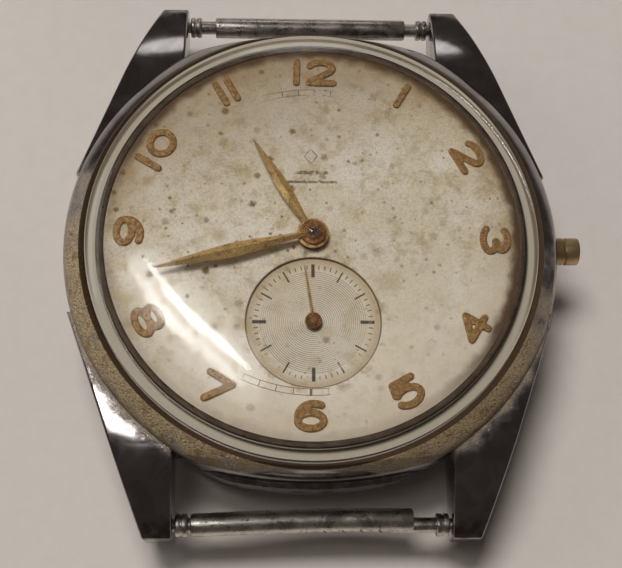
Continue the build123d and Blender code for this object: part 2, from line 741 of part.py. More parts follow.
parts["winding_stem"] = make_stem()
parts["winding_pinion"] = make_winding_pinion()
parts["sliding_pinion"] = make_sliding_pinion()

LEVER_LOW = PLATE_HIGH + 0.06
LEVER_HIGH = LEVER_LOW + 0.3
LEVER_PIN_RADIUS = 0.2
LEVER_PIN = (
    (STEM_GROOVE_START + STEM_GROOVE_END) / 2,
    -(STEM_GROOVE_RADIUS + LEVER_PIN_RADIUS + 0.12),
)
LEVER_PIVOT = (LEVER_PIN[0] + STEM_PULL / 2, LEVER_PIN[1] - 1.5)
LEVER_STUD = 0.3


def make_setting_lever():
    lever = strap(LEVER_PIVOT, LEVER_PIN, 0.9, LEVER_LOW, LEVER_HIGH)
    tail = (LEVER_PIVOT[0] - 2.2, LEVER_PIVOT[1] - 0.9)
    lever += strap(LEVER_PIVOT, tail, 0.7, LEVER_LOW, LEVER_HIGH)
    lever += disc(LEVER_PIN_RADIUS, STEM_Z - 0.3, LEVER_HIGH, LEVER_PIN)
    return lever - disc(LEVER_STUD + FIT, LEVER_LOW, LEVER_HIGH, LEVER_PIVOT)


YOKE_PIN_RADIUS = 0.14
YOKE_PIN = (sum(SLIDING_GROOVE) / 2, -(SLIDING_GROOVE_RADIUS + YOKE_PIN_RADIUS + 0.1))
YOKE_PIVOT = (YOKE_PIN[0] - PINION_SHIFT / 2, YOKE_PIN[1] - 3.0)


def make_yoke():
    yoke = strap(YOKE_PIVOT, YOKE_PIN, 0.7, LEVER_LOW, LEVER_HIGH)
    yoke += disc(YOKE_PIN_RADIUS, STEM_Z - 0.2, LEVER_HIGH, YOKE_PIN)
    return yoke - disc(LEVER_STUD + FIT, LEVER_LOW, LEVER_HIGH, YOKE_PIVOT)


parts["setting_lever"] = make_setting_lever()
parts["yoke"] = make_yoke()
parts["yoke_spring"] = strap((6.6, -5.6), (7.9, -2.9), 0.3, LEVER_LOW, LEVER_HIGH) + strap(
    (6.6, -5.6), (6.0, -6.6), 1.0, LEVER_LOW, LEVER_HIGH
)

# ================= main plate and bridges =================
STEM_WINDOW = 1.9
POCKET_HIGH = 6.62
barrel_screws = ((-5.0, 10.2), (11.3, 3.9), (-10.6, 4.9))
train_screws = ((10.9, -5.2), (-2.6, -11.3), (5.6, -10.3))
pallet_screws = ((-5.75, -7.3), (-5.3, -2.3))
COCK_FOOT = (-6.4, 4.6)
cock_screw = (-6.6, 4.9)


def make_main_plate():
    plate = disc(PLATE_RADIUS, PLATE_LOW, PLATE_HIGH)
    plate += ring(PLATE_RADIUS, RIM_INNER, RIM_LOW, DIAL_LOW)
    plate += block((7.2, 8.35), (-1.5, 1.5), (STEM_Z - 0.7, PLATE_HIGH))
    for place in barrel_screws + train_screws + (cock_screw,):
        plate += disc(PILLAR_RADIUS, BRIDGE_HIGH, PLATE_LOW, place)
    for place in pallet_screws:
        plate += disc(0.5, PALLET_BRIDGE_HIGH, PLATE_LOW, place)
    plate -= disc(BALANCE_RADIUS + 0.3, RIM_LOW, PLATE_LOW, BALANCE)
    plate -= block((8.35, 13.95), (-STEM_WINDOW, STEM_WINDOW), (RIM_LOW, POCKET_HIGH))
    plate -= block((4.5, 13.7), (-5.5, 2.4), (PLATE_HIGH, POCKET_HIGH))
    plate += disc(LEVER_STUD, PLATE_LOW, LEVER_HIGH, LEVER_PIVOT)
    plate += disc(LEVER_STUD, PLATE_LOW, LEVER_HIGH, YOKE_PIVOT)
    plate -= rod_x(STEM_PILOT_RADIUS + FIT, 7.0, 8.4, 0, STEM_Z)
    plate += disc(STUD_RADIUS, PLATE_LOW, HOUR_WHEEL_HIGH, MINUTE_WHEEL)
    plate += disc(STUD_RADIUS, PLATE_LOW, MINUTE_HIGH + 0.1, SETTING_WHEEL)
    plate -= disc(CENTER_ARBOR + FIT, PLATE_LOW, DIAL_LOW)
    plate -= disc(JEWEL_RADIUS, PLATE_LOW, DIAL_LOW, FOURTH)
    for place in (THIRD, ESCAPE, PALLET, BALANCE):
        plate -= disc(JEWEL_RADIUS, PLATE_LOW, PLATE_HIGH, place)
    plate -= disc(0.5 + FIT, PLATE_LOW, PLATE_HIGH, BARREL)
    for angle in (35, 215):
        plate -= disc(0.4, PLATE_LOW, PLATE_HIGH, polar(11.2, angle))
    for angle in CLAMP_ANGLES:
        plate -= disc(0.4, RIM_LOW, 4.6, polar(CLAMP_SCREW_REACH, angle))
    for place in barrel_screws + train_screws + (cock_screw,):
        plate -= disc(0.4, BRIDGE_HIGH, 4.9, place)
    return plate


PALLET_BRIDGE_LOW = 4.1
PALLET_BRIDGE_HIGH = 4.42
WHEEL_LOW = BRIDGE_LOW + 0.05
WHEEL_HIGH = BRIDGE_LOW + 0.5
RECESS = BRIDGE_LOW + 0.6
RATCHET_PITCH = RATCHET_TEETH * WINDING_MODULE / 2
CROWN_PITCH = CROWN_TEETH * WINDING_MODULE / 2
AUTO_TEETH = 15
AUTO_PITCH = AUTO_TEETH * WINDING_MODULE / 2
AUTO_WHEEL = polar(RATCHET_PITCH + AUTO_PITCH, 195, BARREL)
CLICK_PIVOT = polar(RATCHET_PITCH + 1.5, 155, BARREL)
CLICK_TIP = polar(RATCHET_PITCH + 0.45, 141, BARREL)


def make_barrel_bridge():
    outline = [
        (-13, 1.7), (-1.6, 1.7), (-1.2, -1.2), (4.6, -1.2),
        (5.4, -3.2), (13, -3.2), (13, 13), (-13, 13),
    ]
    bridge = slab(outline, BRIDGE_LOW, BRIDGE_HIGH) & disc(BRIDGE_RADIUS, BRIDGE_LOW, BRIDGE_HIGH)
    bridge -= disc(RATCHET_PITCH + 0.35, BRIDGE_LOW, RECESS, BARREL)
    bridge -= disc(CROWN_PITCH + 0.35, BRIDGE_LOW, RECESS, CROWN_WHEEL)
    bridge -= disc(AUTO_PITCH + 0.35, BRIDGE_LOW, RECESS, AUTO_WHEEL)
    bridge -= strap(CLICK_PIVOT, CLICK_TIP, 2.4, BRIDGE_LOW, RECESS)
    bridge -= strap(CLICK_PIVOT, (-3.6, 10.4), 1.6, BRIDGE_LOW, RECESS)
    bridge -= block((10.2, 13), (-STEM_WINDOW, STEM_WINDOW), (BRIDGE_LOW, BRIDGE_HIGH))
    bridge -= rod_x(SLIDING_PINION_RADIUS + 0.1, STEM_SQUARE_START, STEM_ROUND_START, 0, STEM_Z)
    bridge += disc(STUD_RADIUS, WHEEL_LOW, RECESS, CROWN_WHEEL)
    bridge += disc(STUD_RADIUS, WHEEL_LOW, RECESS, AUTO_WHEEL)
    bridge += disc(STUD_RADIUS, WHEEL_LOW, RECESS, CLICK_PIVOT)
    bridge -= disc(0.6 + FIT, BRIDGE_LOW, BRIDGE_HIGH, BARREL)
    bridge -= disc(JEWEL_RADIUS, BRIDGE_LOW, BRIDGE_HIGH, CENTER)
    for place in barrel_screws + (cock_screw,):
        bridge -= disc(0.4, BRIDGE_LOW, BRIDGE_HIGH, place)
    return bridge


def make_train_bridge():
    outline = [
        (-3.4, -1.5), (4.3, -1.5), (5.1, -3.5), (12.6, -3.5),
        (12.6, -12.6), (-6.5, -12.6), (-6.5, -7.0),
    ]
    bridge = slab(outline, BRIDGE_LOW, BRIDGE_HIGH) & disc(BRIDGE_RADIUS, BRIDGE_LOW, BRIDGE_HIGH)
    bridge -= disc(BALANCE_RADIUS + 0.3, BRIDGE_LOW, BRIDGE_HIGH, BALANCE)
    for place in (THIRD, FOURTH, ESCAPE):
        bridge -= disc(JEWEL_RADIUS, BRIDGE_LOW, BRIDGE_HIGH, place)
    for place in train_screws:
        bridge -= disc(0.4, BRIDGE_LOW, BRIDGE_HIGH, place)
    return bridge


def make_pallet_bridge():
    bridge = strap(
        pallet_screws[0], pallet_screws[1], 1.3, PALLET_BRIDGE_LOW, PALLET_BRIDGE_HIGH
    )
    bridge -= disc(0.28, PALLET_BRIDGE_LOW, PALLET_BRIDGE_HIGH, PALLET)
    return bridge


COCK_LOW = 2.4
COCK_HIGH = 2.95


def make_balance_cock():
    cock = strap(COCK_FOOT, BALANCE, 2.6, COCK_LOW, COCK_HIGH)
    cock += disc(1.7, COCK_LOW, BRIDGE_LOW - PRESS, COCK_FOOT)
    cock -= disc(JEWEL_RADIUS, COCK_LOW, COCK_HIGH, BALANCE)
    return cock - disc(0.4, COCK_LOW, BRIDGE_LOW, cock_screw)


parts["main_plate"] = make_main_plate()
parts["barrel_bridge"] = make_barrel_bridge()
parts["train_bridge"] = make_train_bridge()
parts["pallet_bridge"] = make_pallet_bridge()
parts["balance_cock"] = make_balance_cock()
parts["bridge_screws"] = Compound(
    children=[
        screw(place, BRIDGE_LOW - 0.4, BRIDGE_LOW - PRESS, 4.7) for place in barrel_screws + train_screws
    ]
    + [screw(cock_screw, COCK_LOW - 0.25, COCK_LOW - PRESS, 4.7)]
)

# ================= power and train =================
DRUM_LOW = 4.05
DRUM_HIGH = 4.9
DRUM_RADIUS = BARREL_TEETH * BARREL_MODULE / 2 - 0.3
BARREL_TEETH_HIGH = 4.35
CENTER_WHEEL_LOW = 5.0
THIRD_WHEEL_LOW = 4.5
FOURTH_WHEEL_LOW = 4.1
ESCAPE_WHEEL_LOW = 4.6
WHEEL_THICKNESS = 0.12
barrel_phase = meshed_angle(CENTER_LEAVES, 0, heading(CENTER, BARREL), BARREL_TEETH)
third_phase = meshed_angle(CENTER_TEETH, 0, heading(CENTER, THIRD), THIRD_LEAVES)
fourth_phase = meshed_angle(THIRD_TEETH, third_phase, heading(THIRD, FOURTH), FOURTH_LEAVES)
escape_phase = meshed_angle(FOURTH_TEETH, fourth_phase, heading(FOURTH, ESCAPE), ESCAPE_LEAVES)


def make_barrel_drum():
    drum = toothed_wheel(
        BARREL_TEETH, BARREL_MODULE, DRUM_LOW + 0.05, BARREL_TEETH_HIGH, BARREL, barrel_phase
    )
    drum += disc(DRUM_RADIUS, DRUM_LOW, DRUM_HIGH - 0.12, BARREL)
    drum -= disc(DRUM_RADIUS - 0.3, DRUM_LOW + 0.15, DRUM_HIGH, BARREL)
    return drum - disc(0.5 + FIT, DRUM_LOW, DRUM_HIGH, BARREL)


def make_mainspring():
    """The wound strip, drawn as a run of close rings that share one inner hook."""
    coils = None
    inner = 1.6
    outer = DRUM_RADIUS - 0.4
    turns = 7
    for turn in range(turns):
        radius = inner + (outer - inner) * turn / (turns - 1)
        coil = ring(radius, radius - 0.12, DRUM_LOW + 0.2, DRUM_HIGH - 0.2, BARREL)
        coils = coil if coils is None else coils + coil
    coils += Pos(BARREL[0], BARREL[1], 0) * block(
        (inner - 0.2, outer), (-0.06, 0.06), (DRUM_LOW + 0.2, DRUM_HIGH - 0.2)
    )
    return coils


def make_barrel_arbor():
    body = disc(0.5, BRIDGE_LOW + 0.1, PLATE_HIGH - 0.05, BARREL)
    body += disc(1.1, DRUM_LOW + 0.2, DRUM_HIGH - 0.2, BARREL)
    return body


parts["barrel_drum"] = make_barrel_drum()
parts["barrel_cover"] = ring(DRUM_RADIUS - 0.3 - PRESS, 0.5 + FIT, DRUM_HIGH - 0.1, DRUM_HIGH, BARREL)
parts["mainspring"] = make_mainspring()
parts["barrel_arbor"] = make_barrel_arbor()


def make_center_wheel():
    wheel = toothed_wheel(
        CENTER_TEETH, CENTER_MODULE, CENTER_WHEEL_LOW, CENTER_WHEEL_LOW + WHEEL_THICKNESS,
        CENTER, 0, True,
    )
    wheel += toothed_wheel(CENTER_LEAVES, BARREL_MODULE, 4.05, 4.42, CENTER)
    wheel += disc(CENTER_ARBOR, 4.0, POST_TOP - 0.12)
    wheel += disc(PIVOT_RADIUS, BRIDGE_LOW + 0.15, 4.1)
    wheel += disc(CENTER_ARBOR - 0.06, POST_TOP - 0.12, POST_TOP)
    return wheel


def make_third_wheel():
    wheel = toothed_wheel(
        THIRD_TEETH, THIRD_MODULE, THIRD_WHEEL_LOW, THIRD_WHEEL_LOW + WHEEL_THICKNESS,
        THIRD, third_phase, True,
    )
    wheel += toothed_wheel(
        THIRD_LEAVES, CENTER_MODULE, THIRD_WHEEL_LOW, CENTER_WHEEL_LOW + 0.15, THIRD, third_phase
    )
    return wheel + arbor(THIRD, BRIDGE_LOW + 0.1, PLATE_HIGH - 0.1, 3.95, 5.15)


def make_fourth_wheel():
    wheel = toothed_wheel(
        FOURTH_TEETH, FOURTH_MODULE, FOURTH_WHEEL_LOW, FOURTH_WHEEL_LOW + WHEEL_THICKNESS,
        FOURTH, fourth_phase, True,
    )
    wheel += toothed_wheel(
        FOURTH_LEAVES, THIRD_MODULE, FOURTH_WHEEL_LOW, THIRD_WHEEL_LOW + 0.35, FOURTH, fourth_phase
    )
    return wheel + arbor(
        FOURTH, BRIDGE_LOW + 0.1, SECONDS_HAND_LOW + HAND_THICKNESS + 0.1, 3.95, 5.15
    )


def make_escape_wheel():
    teeth = 15
    outline = []
    for number in range(teeth):
        angle = escape_phase + 360 / teeth * number
        outline.append(polar(0.72 * ESCAPE_RADIUS, angle - 10))
        outline.append(polar(ESCAPE_RADIUS, angle - 1.2))
        outline.append(polar(ESCAPE_RADIUS, angle + 1.2))
        outline.append(polar(0.72 * ESCAPE_RADIUS, angle + 2))
    wheel = slab(outline, ESCAPE_WHEEL_LOW, ESCAPE_WHEEL_LOW + WHEEL_THICKNESS)
    wheel = Pos(ESCAPE[0], ESCAPE[1], 0) * wheel
    wheel += toothed_wheel(
        ESCAPE_LEAVES, FOURTH_MODULE, FOURTH_WHEEL_LOW - 0.05, FOURTH_WHEEL_LOW + 0.3,
        ESCAPE, escape_phase,
    )
    return wheel + arbor(ESCAPE, BRIDGE_LOW + 0.1, PLATE_HIGH - 0.1, 3.95, 5.15)


parts["center_wheel"] = make_center_wheel()
parts["third_wheel"] = make_third_wheel()
parts["fourth_wheel"] = make_fourth_wheel()
parts["escape_wheel"] = make_escape_wheel()

# ================= escapement and balance =================
FORK_LOW = 4.6
FORK_HIGH = 4.75
ROLLER_RADIUS = 0.8
IMPULSE_PIN = 0.1


def make_pallet_fork():
    toward_escape = heading(PALLET, ESCAPE)
    toward_balance = heading(PALLET, BALANCE)
    fork = disc(0.38, FORK_LOW, FORK_HIGH, PALLET)
    for side in (-1, 1):
        shoulder = polar(1.25, toward_escape + side * 62, PALLET)
        stone = polar(ESCAPE_RADIUS + 0.2, heading(ESCAPE, shoulder), ESCAPE)
        fork += strap(PALLET, shoulder, 0.4, FORK_LOW, FORK_HIGH)
        fork += strap(shoulder, stone, 0.24, FORK_LOW, FORK_HIGH)
    tail = polar(math.dist(PALLET, BALANCE) - ROLLER_RADIUS - 0.35, toward_balance, PALLET)
    fork += strap(PALLET, tail, 0.3, FORK_LOW, FORK_HIGH)
    return fork + arbor(PALLET, PALLET_BRIDGE_LOW + 0.05, PLATE_HIGH - 0.1, 4.5, 5.1)


def make_balance_wheel():
    wheel = ring(BALANCE_RADIUS, BALANCE_RADIUS - 0.5, 3.5, 4.0, BALANCE)
    wheel += Pos(BALANCE[0], BALANCE[1], 0) * block(
        (-BALANCE_RADIUS + 0.3, BALANCE_RADIUS - 0.3), (-0.3, 0.3), (3.6, 3.85)
    )
    wheel += disc(0.55, 3.5, 4.0, BALANCE)
    wheel += disc(0.35, 3.4, 5.1, BALANCE)
    wheel += disc(PIVOT_RADIUS, COCK_LOW + 0.1, PLATE_HIGH - 0.1, BALANCE)
    wheel += disc(ROLLER_RADIUS, 4.3, 4.5, BALANCE)
    pin = polar(ROLLER_RADIUS - 0.15, heading(BALANCE, PALLET), BALANCE)
    wheel += disc(IMPULSE_PIN, 4.5, FORK_HIGH, pin)
    return wheel


def make_hairspring():
    """A flat spiral of strip between the collet and the stud on the cock."""
    turns = 5
    start = 0.75
    end = 3.1
    points = []
    for step in range(turns * 8 + 1):
        share = step / (turns * 8)
        points.append(polar(start + (end - start) * share, 360 * turns * share, BALANCE))
    path = Spline(*[(x, y, 3.2) for x, y in points])
    section = Plane(origin=path @ 0, z_dir=path % 0) * Rectangle(0.08, 0.16)
    strip = sweep(section, path=path)
    stud = disc(0.16, COCK_HIGH, 3.28, points[-1])
    return strip + stud


parts["pallet_fork"] = make_pallet_fork()
parts["balance_wheel"] = make_balance_wheel()
parts["hairspring"] = make_hairspring()


def make_regulator():
    arm = ring(1.1, 0.75, COCK_LOW - 0.2, COCK_LOW - 0.02, BALANCE)
    pointer = strap(polar(1.0, 70, BALANCE), polar(2.6, 70, BALANCE), 0.35, COCK_LOW - 0.2, COCK_LOW - 0.02)
    return arm + pointer


parts["regulator"] = make_regulator()

# ================= winding wheels =================
crown_phase = meshed_angle(RATCHET_TEETH, 0, heading(BARREL, CROWN_WHEEL), CROWN_TEETH)
auto_phase = meshed_angle(RATCHET_TEETH, 0, heading(BARREL, AUTO_WHEEL), AUTO_TEETH)
ratchet = toothed_wheel(RATCHET_TEETH, WINDING_MODULE, WHEEL_LOW, WHEEL_HIGH, BARREL)
parts["ratchet_wheel"] = ratchet - disc(0.51, WHEEL_LOW, WHEEL_HIGH, BARREL)
crown = toothed_wheel(CROWN_TEETH, WINDING_MODULE, WHEEL_LOW, WHEEL_HIGH, CROWN_WHEEL, crown_phase)
parts["crown_wheel"] = crown - disc(STUD_RADIUS + FIT, WHEEL_LOW, WHEEL_HIGH, CROWN_WHEEL)
auto = toothed_wheel(AUTO_TEETH, WINDING_MODULE, WHEEL_LOW, WHEEL_HIGH, AUTO_WHEEL, auto_phase)
parts["auto_winding_wheel"] = auto - disc(STUD_RADIUS + FIT, WHEEL_LOW, WHEEL_HIGH, AUTO_WHEEL)
click = strap(CLICK_PIVOT, CLICK_TIP, 0.5, WHEEL_LOW, WHEEL_HIGH) + disc(
    0.7, WHEEL_LOW, WHEEL_HIGH, CLICK_PIVOT
)
parts["click"] = click - disc(STUD_RADIUS + FIT, WHEEL_LOW, WHEEL_HIGH, CLICK_PIVOT)
parts["click_spring"] = strap((-3.6, 10.4), (-3.75, 8.7), 0.25, WHEEL_LOW, WHEEL_HIGH) + disc(
    0.5, WHEEL_LOW, RECESS, (-3.6, 10.4)
)

# ================= automatic work =================
AUTO_LOW = 2.2


def make_automatic_bridge():
    bridge = strap((-3.9, 6.9), CENTER, 2.2, AUTO_LOW, BRIDGE_LOW - PRESS)
    bridge += strap(CENTER, (7.2, -6.2), 2.2, AUTO_LOW, BRIDGE_LOW - PRESS)
    return bridge - disc(WEIGHT_AXLE_RADIUS * 0.6, AUTO_LOW, BRIDGE_LOW)


def make_weight_axle():
    axle = disc(WEIGHT_AXLE_RADIUS, WEIGHT_LOW + 0.15, AUTO_LOW - PRESS)
    axle += disc(WEIGHT_AXLE_RADIUS + 0.45, WEIGHT_LOW - 0.05, WEIGHT_LOW + 0.15)
    return axle + disc(WEIGHT_AXLE_RADIUS * 0.6 - PRESS, AUTO_LOW - PRESS, BRIDGE_LOW - 0.1)


def make_weight():
    edge = WEIGHT_HALF_ANGLE
    reach = 2 * WEIGHT_RADIUS
    outline = [
        (0, 0), polar(reach, -90 - edge), polar(reach, -90), polar(reach, -90 + edge),
    ]
    sector = slab(outline, WEIGHT_LOW, WEIGHT_HIGH)
    rim = ring(WEIGHT_RADIUS, 9.2, WEIGHT_LOW, WEIGHT_HIGH) & sector
    web = disc(9.5, 1.25, 1.65) & sector
    web -= ring(8.4, 4.6, 1.2, 1.7) & slab(
        [(0, 0), polar(reach, -90 - edge / 2), polar(reach, -90 + edge / 2)], 1.2, 1.7
    )
    weight = rim + web + disc(2.0, WEIGHT_LOW + 0.25, WEIGHT_HIGH)
    return weight - disc(WEIGHT_AXLE_RADIUS + FIT, WEIGHT_LOW, WEIGHT_HIGH)


parts["automatic_bridge"] = make_automatic_bridge()
parts["weight_axle"] = make_weight_axle()
parts["oscillating_weight"] = make_weight()
BUFFER_RADIUS = 0.55
BUFFER_WIRE = 0.1
BUFFER_TURNS = 6
BUFFER_LENGTH = 2.4


def make_buffer(side):
    """A coil spring lying along the weight's path, with its post on the barrel bridge."""
    angle = 90 + side * (90 - BUFFER_ANGLE)
    path = Helix(BUFFER_LENGTH / BUFFER_TURNS, BUFFER_LENGTH, BUFFER_RADIUS - BUFFER_WIRE)
    section = Plane(origin=path @ 0, z_dir=path % 0) * Circle(BUFFER_WIRE)
    coil = sweep(section, path=path, is_frenet=True)
    place = polar(BUFFER_REACH, angle)
    tilt = Pos(place[0], place[1], 1.5) * Rot(0, 0, angle + side * 90) * Rot(0, 90, 0)
    return tilt * (Pos(0, 0, -BUFFER_LENGTH) * coil)


def make_buffer_post(side):
    angle = 90 + side * (90 - BUFFER_ANGLE)
    place = polar(BUFFER_REACH, angle)
    tilt = Pos(place[0], place[1], 1.5) * Rot(0, 0, angle + side * 90) * Rot(0, 90, 0)
    core = Pos(0, 0, -BUFFER_LENGTH - 0.6) * Cylinder(0.28, BUFFER_LENGTH + 0.3, align=FROM_BELOW)
    head = Pos(0, 0, -BUFFER_LENGTH - 0.6) * Cylinder(0.6, 0.45, align=FROM_BELOW)
    post = tilt * (core + head)
    foot = tilt * (Pos(0, 0, -BUFFER_LENGTH - 0.38) * Box(0.45, 0.45, 0.45))
    middle = foot.center()
    return post + disc(0.5, 1.5, BRIDGE_LOW - PRESS, (middle.X, middle.Y))


parts["buffer_springs"] = Compound(children=[make_buffer(-1), make_buffer(1)])
parts["buffer_posts"] = Compound(children=[make_buffer_post(-1), make_buffer_post(1)])


# ================= jewels =================
def jewel(centre, low, high, hole=PIVOT_RADIUS + FIT):
    return ring(JEWEL_RADIUS - 0.005, hole, low, high, centre)


def make_jewels():
    jewels = [
        jewel(place, PLATE_LOW + 0.3, PLATE_LOW + 0.7) for place in (THIRD, ESCAPE, PALLET, BALANCE)
    ]
    jewels.append(jewel(FOURTH, PLATE_LOW + 0.3, PLATE_LOW + 0.7))
    jewels += [
        jewel(place, BRIDGE_LOW + 0.1, BRIDGE_LOW + 0.5)
        for place in (CENTER, THIRD, FOURTH, ESCAPE)
    ]
    jewels.append(jewel(BALANCE, COCK_LOW + 0.05, COCK_LOW + 0.4))
    return Compound(children=jewels)


parts["train_jewels"] = make_jewels()


def write_parts():
    os.makedirs("parts", exist_ok=True)
    for name, shape in parts.items():
        export_step(shape, f"parts/{name}.step")


write_parts()
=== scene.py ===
"""A steel wristwatch head: lugged case, domed crystal, aged dial, gilt hands and spring bars."""

import json
import math

import bmesh
import bpy
from mathutils import Matrix, Vector, noise


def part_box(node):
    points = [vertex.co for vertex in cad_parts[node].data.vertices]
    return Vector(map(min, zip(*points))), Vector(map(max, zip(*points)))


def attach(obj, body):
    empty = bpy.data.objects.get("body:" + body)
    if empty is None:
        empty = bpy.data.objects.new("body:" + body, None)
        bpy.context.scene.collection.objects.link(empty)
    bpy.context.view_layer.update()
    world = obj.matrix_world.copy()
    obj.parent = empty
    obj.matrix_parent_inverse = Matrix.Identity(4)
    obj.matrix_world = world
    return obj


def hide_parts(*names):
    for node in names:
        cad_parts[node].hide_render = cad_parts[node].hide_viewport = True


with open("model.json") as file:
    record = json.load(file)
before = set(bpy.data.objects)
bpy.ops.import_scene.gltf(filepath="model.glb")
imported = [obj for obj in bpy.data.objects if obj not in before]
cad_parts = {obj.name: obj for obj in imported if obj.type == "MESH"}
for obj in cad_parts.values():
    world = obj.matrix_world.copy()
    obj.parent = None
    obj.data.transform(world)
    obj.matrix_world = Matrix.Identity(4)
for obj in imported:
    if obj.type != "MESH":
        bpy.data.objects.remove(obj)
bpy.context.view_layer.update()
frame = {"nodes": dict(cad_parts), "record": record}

MM = 0.001

# sizes in millimetres, as in the case drawing
CASE_RADIUS = 16.7
CASE_LOW = 1.4
BORE_RADIUS = 13.95
SEAT_RADIUS = 15.15
SEAT_HEIGHT = 7.05
BEZEL_TOP = 7.62

# the case ends between the lugs: how far out, how gently curved, and their ledge
END_Y = 16.05
END_CURVE = 28.0
END_LEDGE = 0.3
END_LEDGE_TOP = 4.6

LUG_GAP = 18.0
LUG_TIP_X = 10.87
LUG_TIP_Y = 19.45
BAR_Y = 18.45
BAR_Z = 3.4
STEM_Z = 5.0
TUBE_STEP = 16.6
TUBE_END = 18.45

CRYSTAL_LOW = 7.07
CRYSTAL_RADIUS = 15.08
CRYSTAL_TOP = 9.95
CRYSTAL_THICK = 0.95

DIAL_RADIUS = 13.85
DIAL_LOW, DIAL_HIGH = 7.02, 7.42
SUBDIAL = (0.0, -5.93)
SUBDIAL_RADIUS = 4.36
SUBDIAL_LOW, SUBDIAL_FLOOR = 7.185, 7.27
RINGS_RADIUS = 3.5
RING_PITCH = 0.135
TRACK_INNER, TRACK_OUTER = 10.4, 10.82

NUMERAL_RADIUS = 12.15
NUMERAL_SIZE = 1.95
NUMERAL_STROKE = 0.5
NUMERAL_SPACE = 0.34

# degrees clockwise from twelve: how far the dial sits turned, and where the hands stand
DIAL_TURN = 1.0
HOUR_PLACE = 329.7
MINUTE_PLACE = 256.2
SECONDS_PLACE = 351.6


# ---------------------------------------------------------------- shaping
def turned(profile, steps=192, rounds=3):
    """Spins an outline of (radius, height, rounding) about the upright axis."""
    bm = bmesh.new()
    corners = [bm.verts.new((point[0], 0, point[1])) for point in profile]
    bm.faces.new(corners)
    softened = {}
    for corner, point in zip(corners, profile):
        if len(point) > 2:
            softened.setdefault(point[2], []).append(corner)
    for width, group in softened.items():
        bmesh.ops.bevel(
            bm, geom=group, offset=width, offset_type="OFFSET", segments=rounds,
            profile=0.5, material=-1, affect="VERTICES", clamp_overlap=True,
        )
    bmesh.ops.delete(bm, geom=bm.faces[:], context="FACES_ONLY")
    axis = [edge for edge in bm.edges if all(abs(v.co.x) < 1e-6 for v in edge.verts)]
    bmesh.ops.delete(bm, geom=axis, context="EDGES")
    bmesh.ops.spin(
        bm, geom=bm.verts[:] + bm.edges[:], cent=(0, 0, 0), axis=(0, 0, 1),
        angle=2 * math.pi, steps=steps, use_merge=True,
    )
    return closed(bm)


def closed(bm):
    """Merges seams and poles and turns every face outwards."""
    bmesh.ops.remove_doubles(bm, verts=bm.verts[:], dist=1e-5)
    bmesh.ops.recalc_face_normals(bm, faces=bm.faces[:])
    return bm


def moved(bm, matrix):
    bmesh.ops.transform(bm, matrix=matrix, verts=bm.verts[:])
    if matrix.determinant() < 0:
        bmesh.ops.reverse_faces(bm, faces=bm.faces[:])
    return bm


def shifted(bm, x=0.0, y=0.0, z=0.0):
    return moved(bm, Matrix.Translation((x, y, z)))


def along_x(bm, y, z):
    """Lays a turned piece on its side, its axis along the watch's width."""
    return moved(bm, Matrix.Translation((0, y, z)) @ Matrix.Rotation(math.pi / 2, 4, "Y"))


def clocked(degrees):
    """A turn to a place on the dial, in degrees clockwise from twelve."""
    return Matrix.Rotation(-math.radians(degrees), 4, "Z")


def gathered(*shapes):
    """Puts several closed shapes into one."""
    whole = bmesh.new()
    for shape in shapes:
        mesh = bpy.data.meshes.new("gathered")
        shape.to_mesh(mesh)
        shape.free()
        whole.from_mesh(mesh)
        bpy.data.meshes.remove(mesh)
    return whole


def loose(bm, name="loose"):
    mesh = bpy.data.meshes.new(name)
    bm.to_mesh(mesh)
    bm.free()
    obj = bpy.data.objects.new(name, mesh)
    bpy.context.scene.collection.objects.link(obj)
    return obj


def settled(obj):
    """The shape of an object with its modifiers, which then is put away."""
    bpy.context.view_layer.update()
    bm = bmesh.new()
    bm.from_object(obj, bpy.context.evaluated_depsgraph_get())
    bpy.data.objects.remove(obj)
    return bm


def worked(bm, tool, operation):
    """Adds the second shape to the first, or cuts it away."""
    body, cutter = loose(bm), loose(tool)
    change = body.modifiers.new("shape", "BOOLEAN")
    change.operation = operation
    change.object = cutter
    change.solver = "EXACT"
    result = settled(body)
    bpy.data.objects.remove(cutter)
    return result


def rod(radius, low, high, steps=48):
    return turned([(0, low), (radius, low), (radius, high), (0, high)], steps)


def block(wide, deep, tall):
    bm = bmesh.new()
    bmesh.ops.create_cube(bm, size=1.0)
    bmesh.ops.scale(bm, vec=(wide, deep, tall), verts=bm.verts[:])
    return bm


def piece(name, bm, finishes, body, stands_for=(), sharp=32):
    """Makes a finished shape one named piece that moves with its body."""
    bmesh.ops.scale(bm, vec=(MM, MM, MM), verts=bm.verts[:])
    mesh = bpy.data.meshes.new(name)
    bm.to_mesh(mesh)
    bm.free()
    for finish in finishes:
        mesh.materials.append(finish)
    mesh.shade_smooth()
    mesh.set_sharp_from_angle(angle=math.radians(sharp))
    obj = bpy.data.objects.new(name, mesh)
    bpy.context.scene.collection.objects.link(obj)
    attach(obj, body)
    if stands_for:
        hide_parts(*stands_for)
    return obj


# ---------------------------------------------------------------- finishes
def tint(red, green, blue):
    """A colour given in the usual 0 to 255 steps, as the shader wants it."""
    steps = [value / 255 for value in (red, green, blue)]
    light = [s / 12.92 if s <= 0.04045 else ((s + 0.055) / 1.055) ** 2.4 for s in steps]
    return (*light, 1.0)


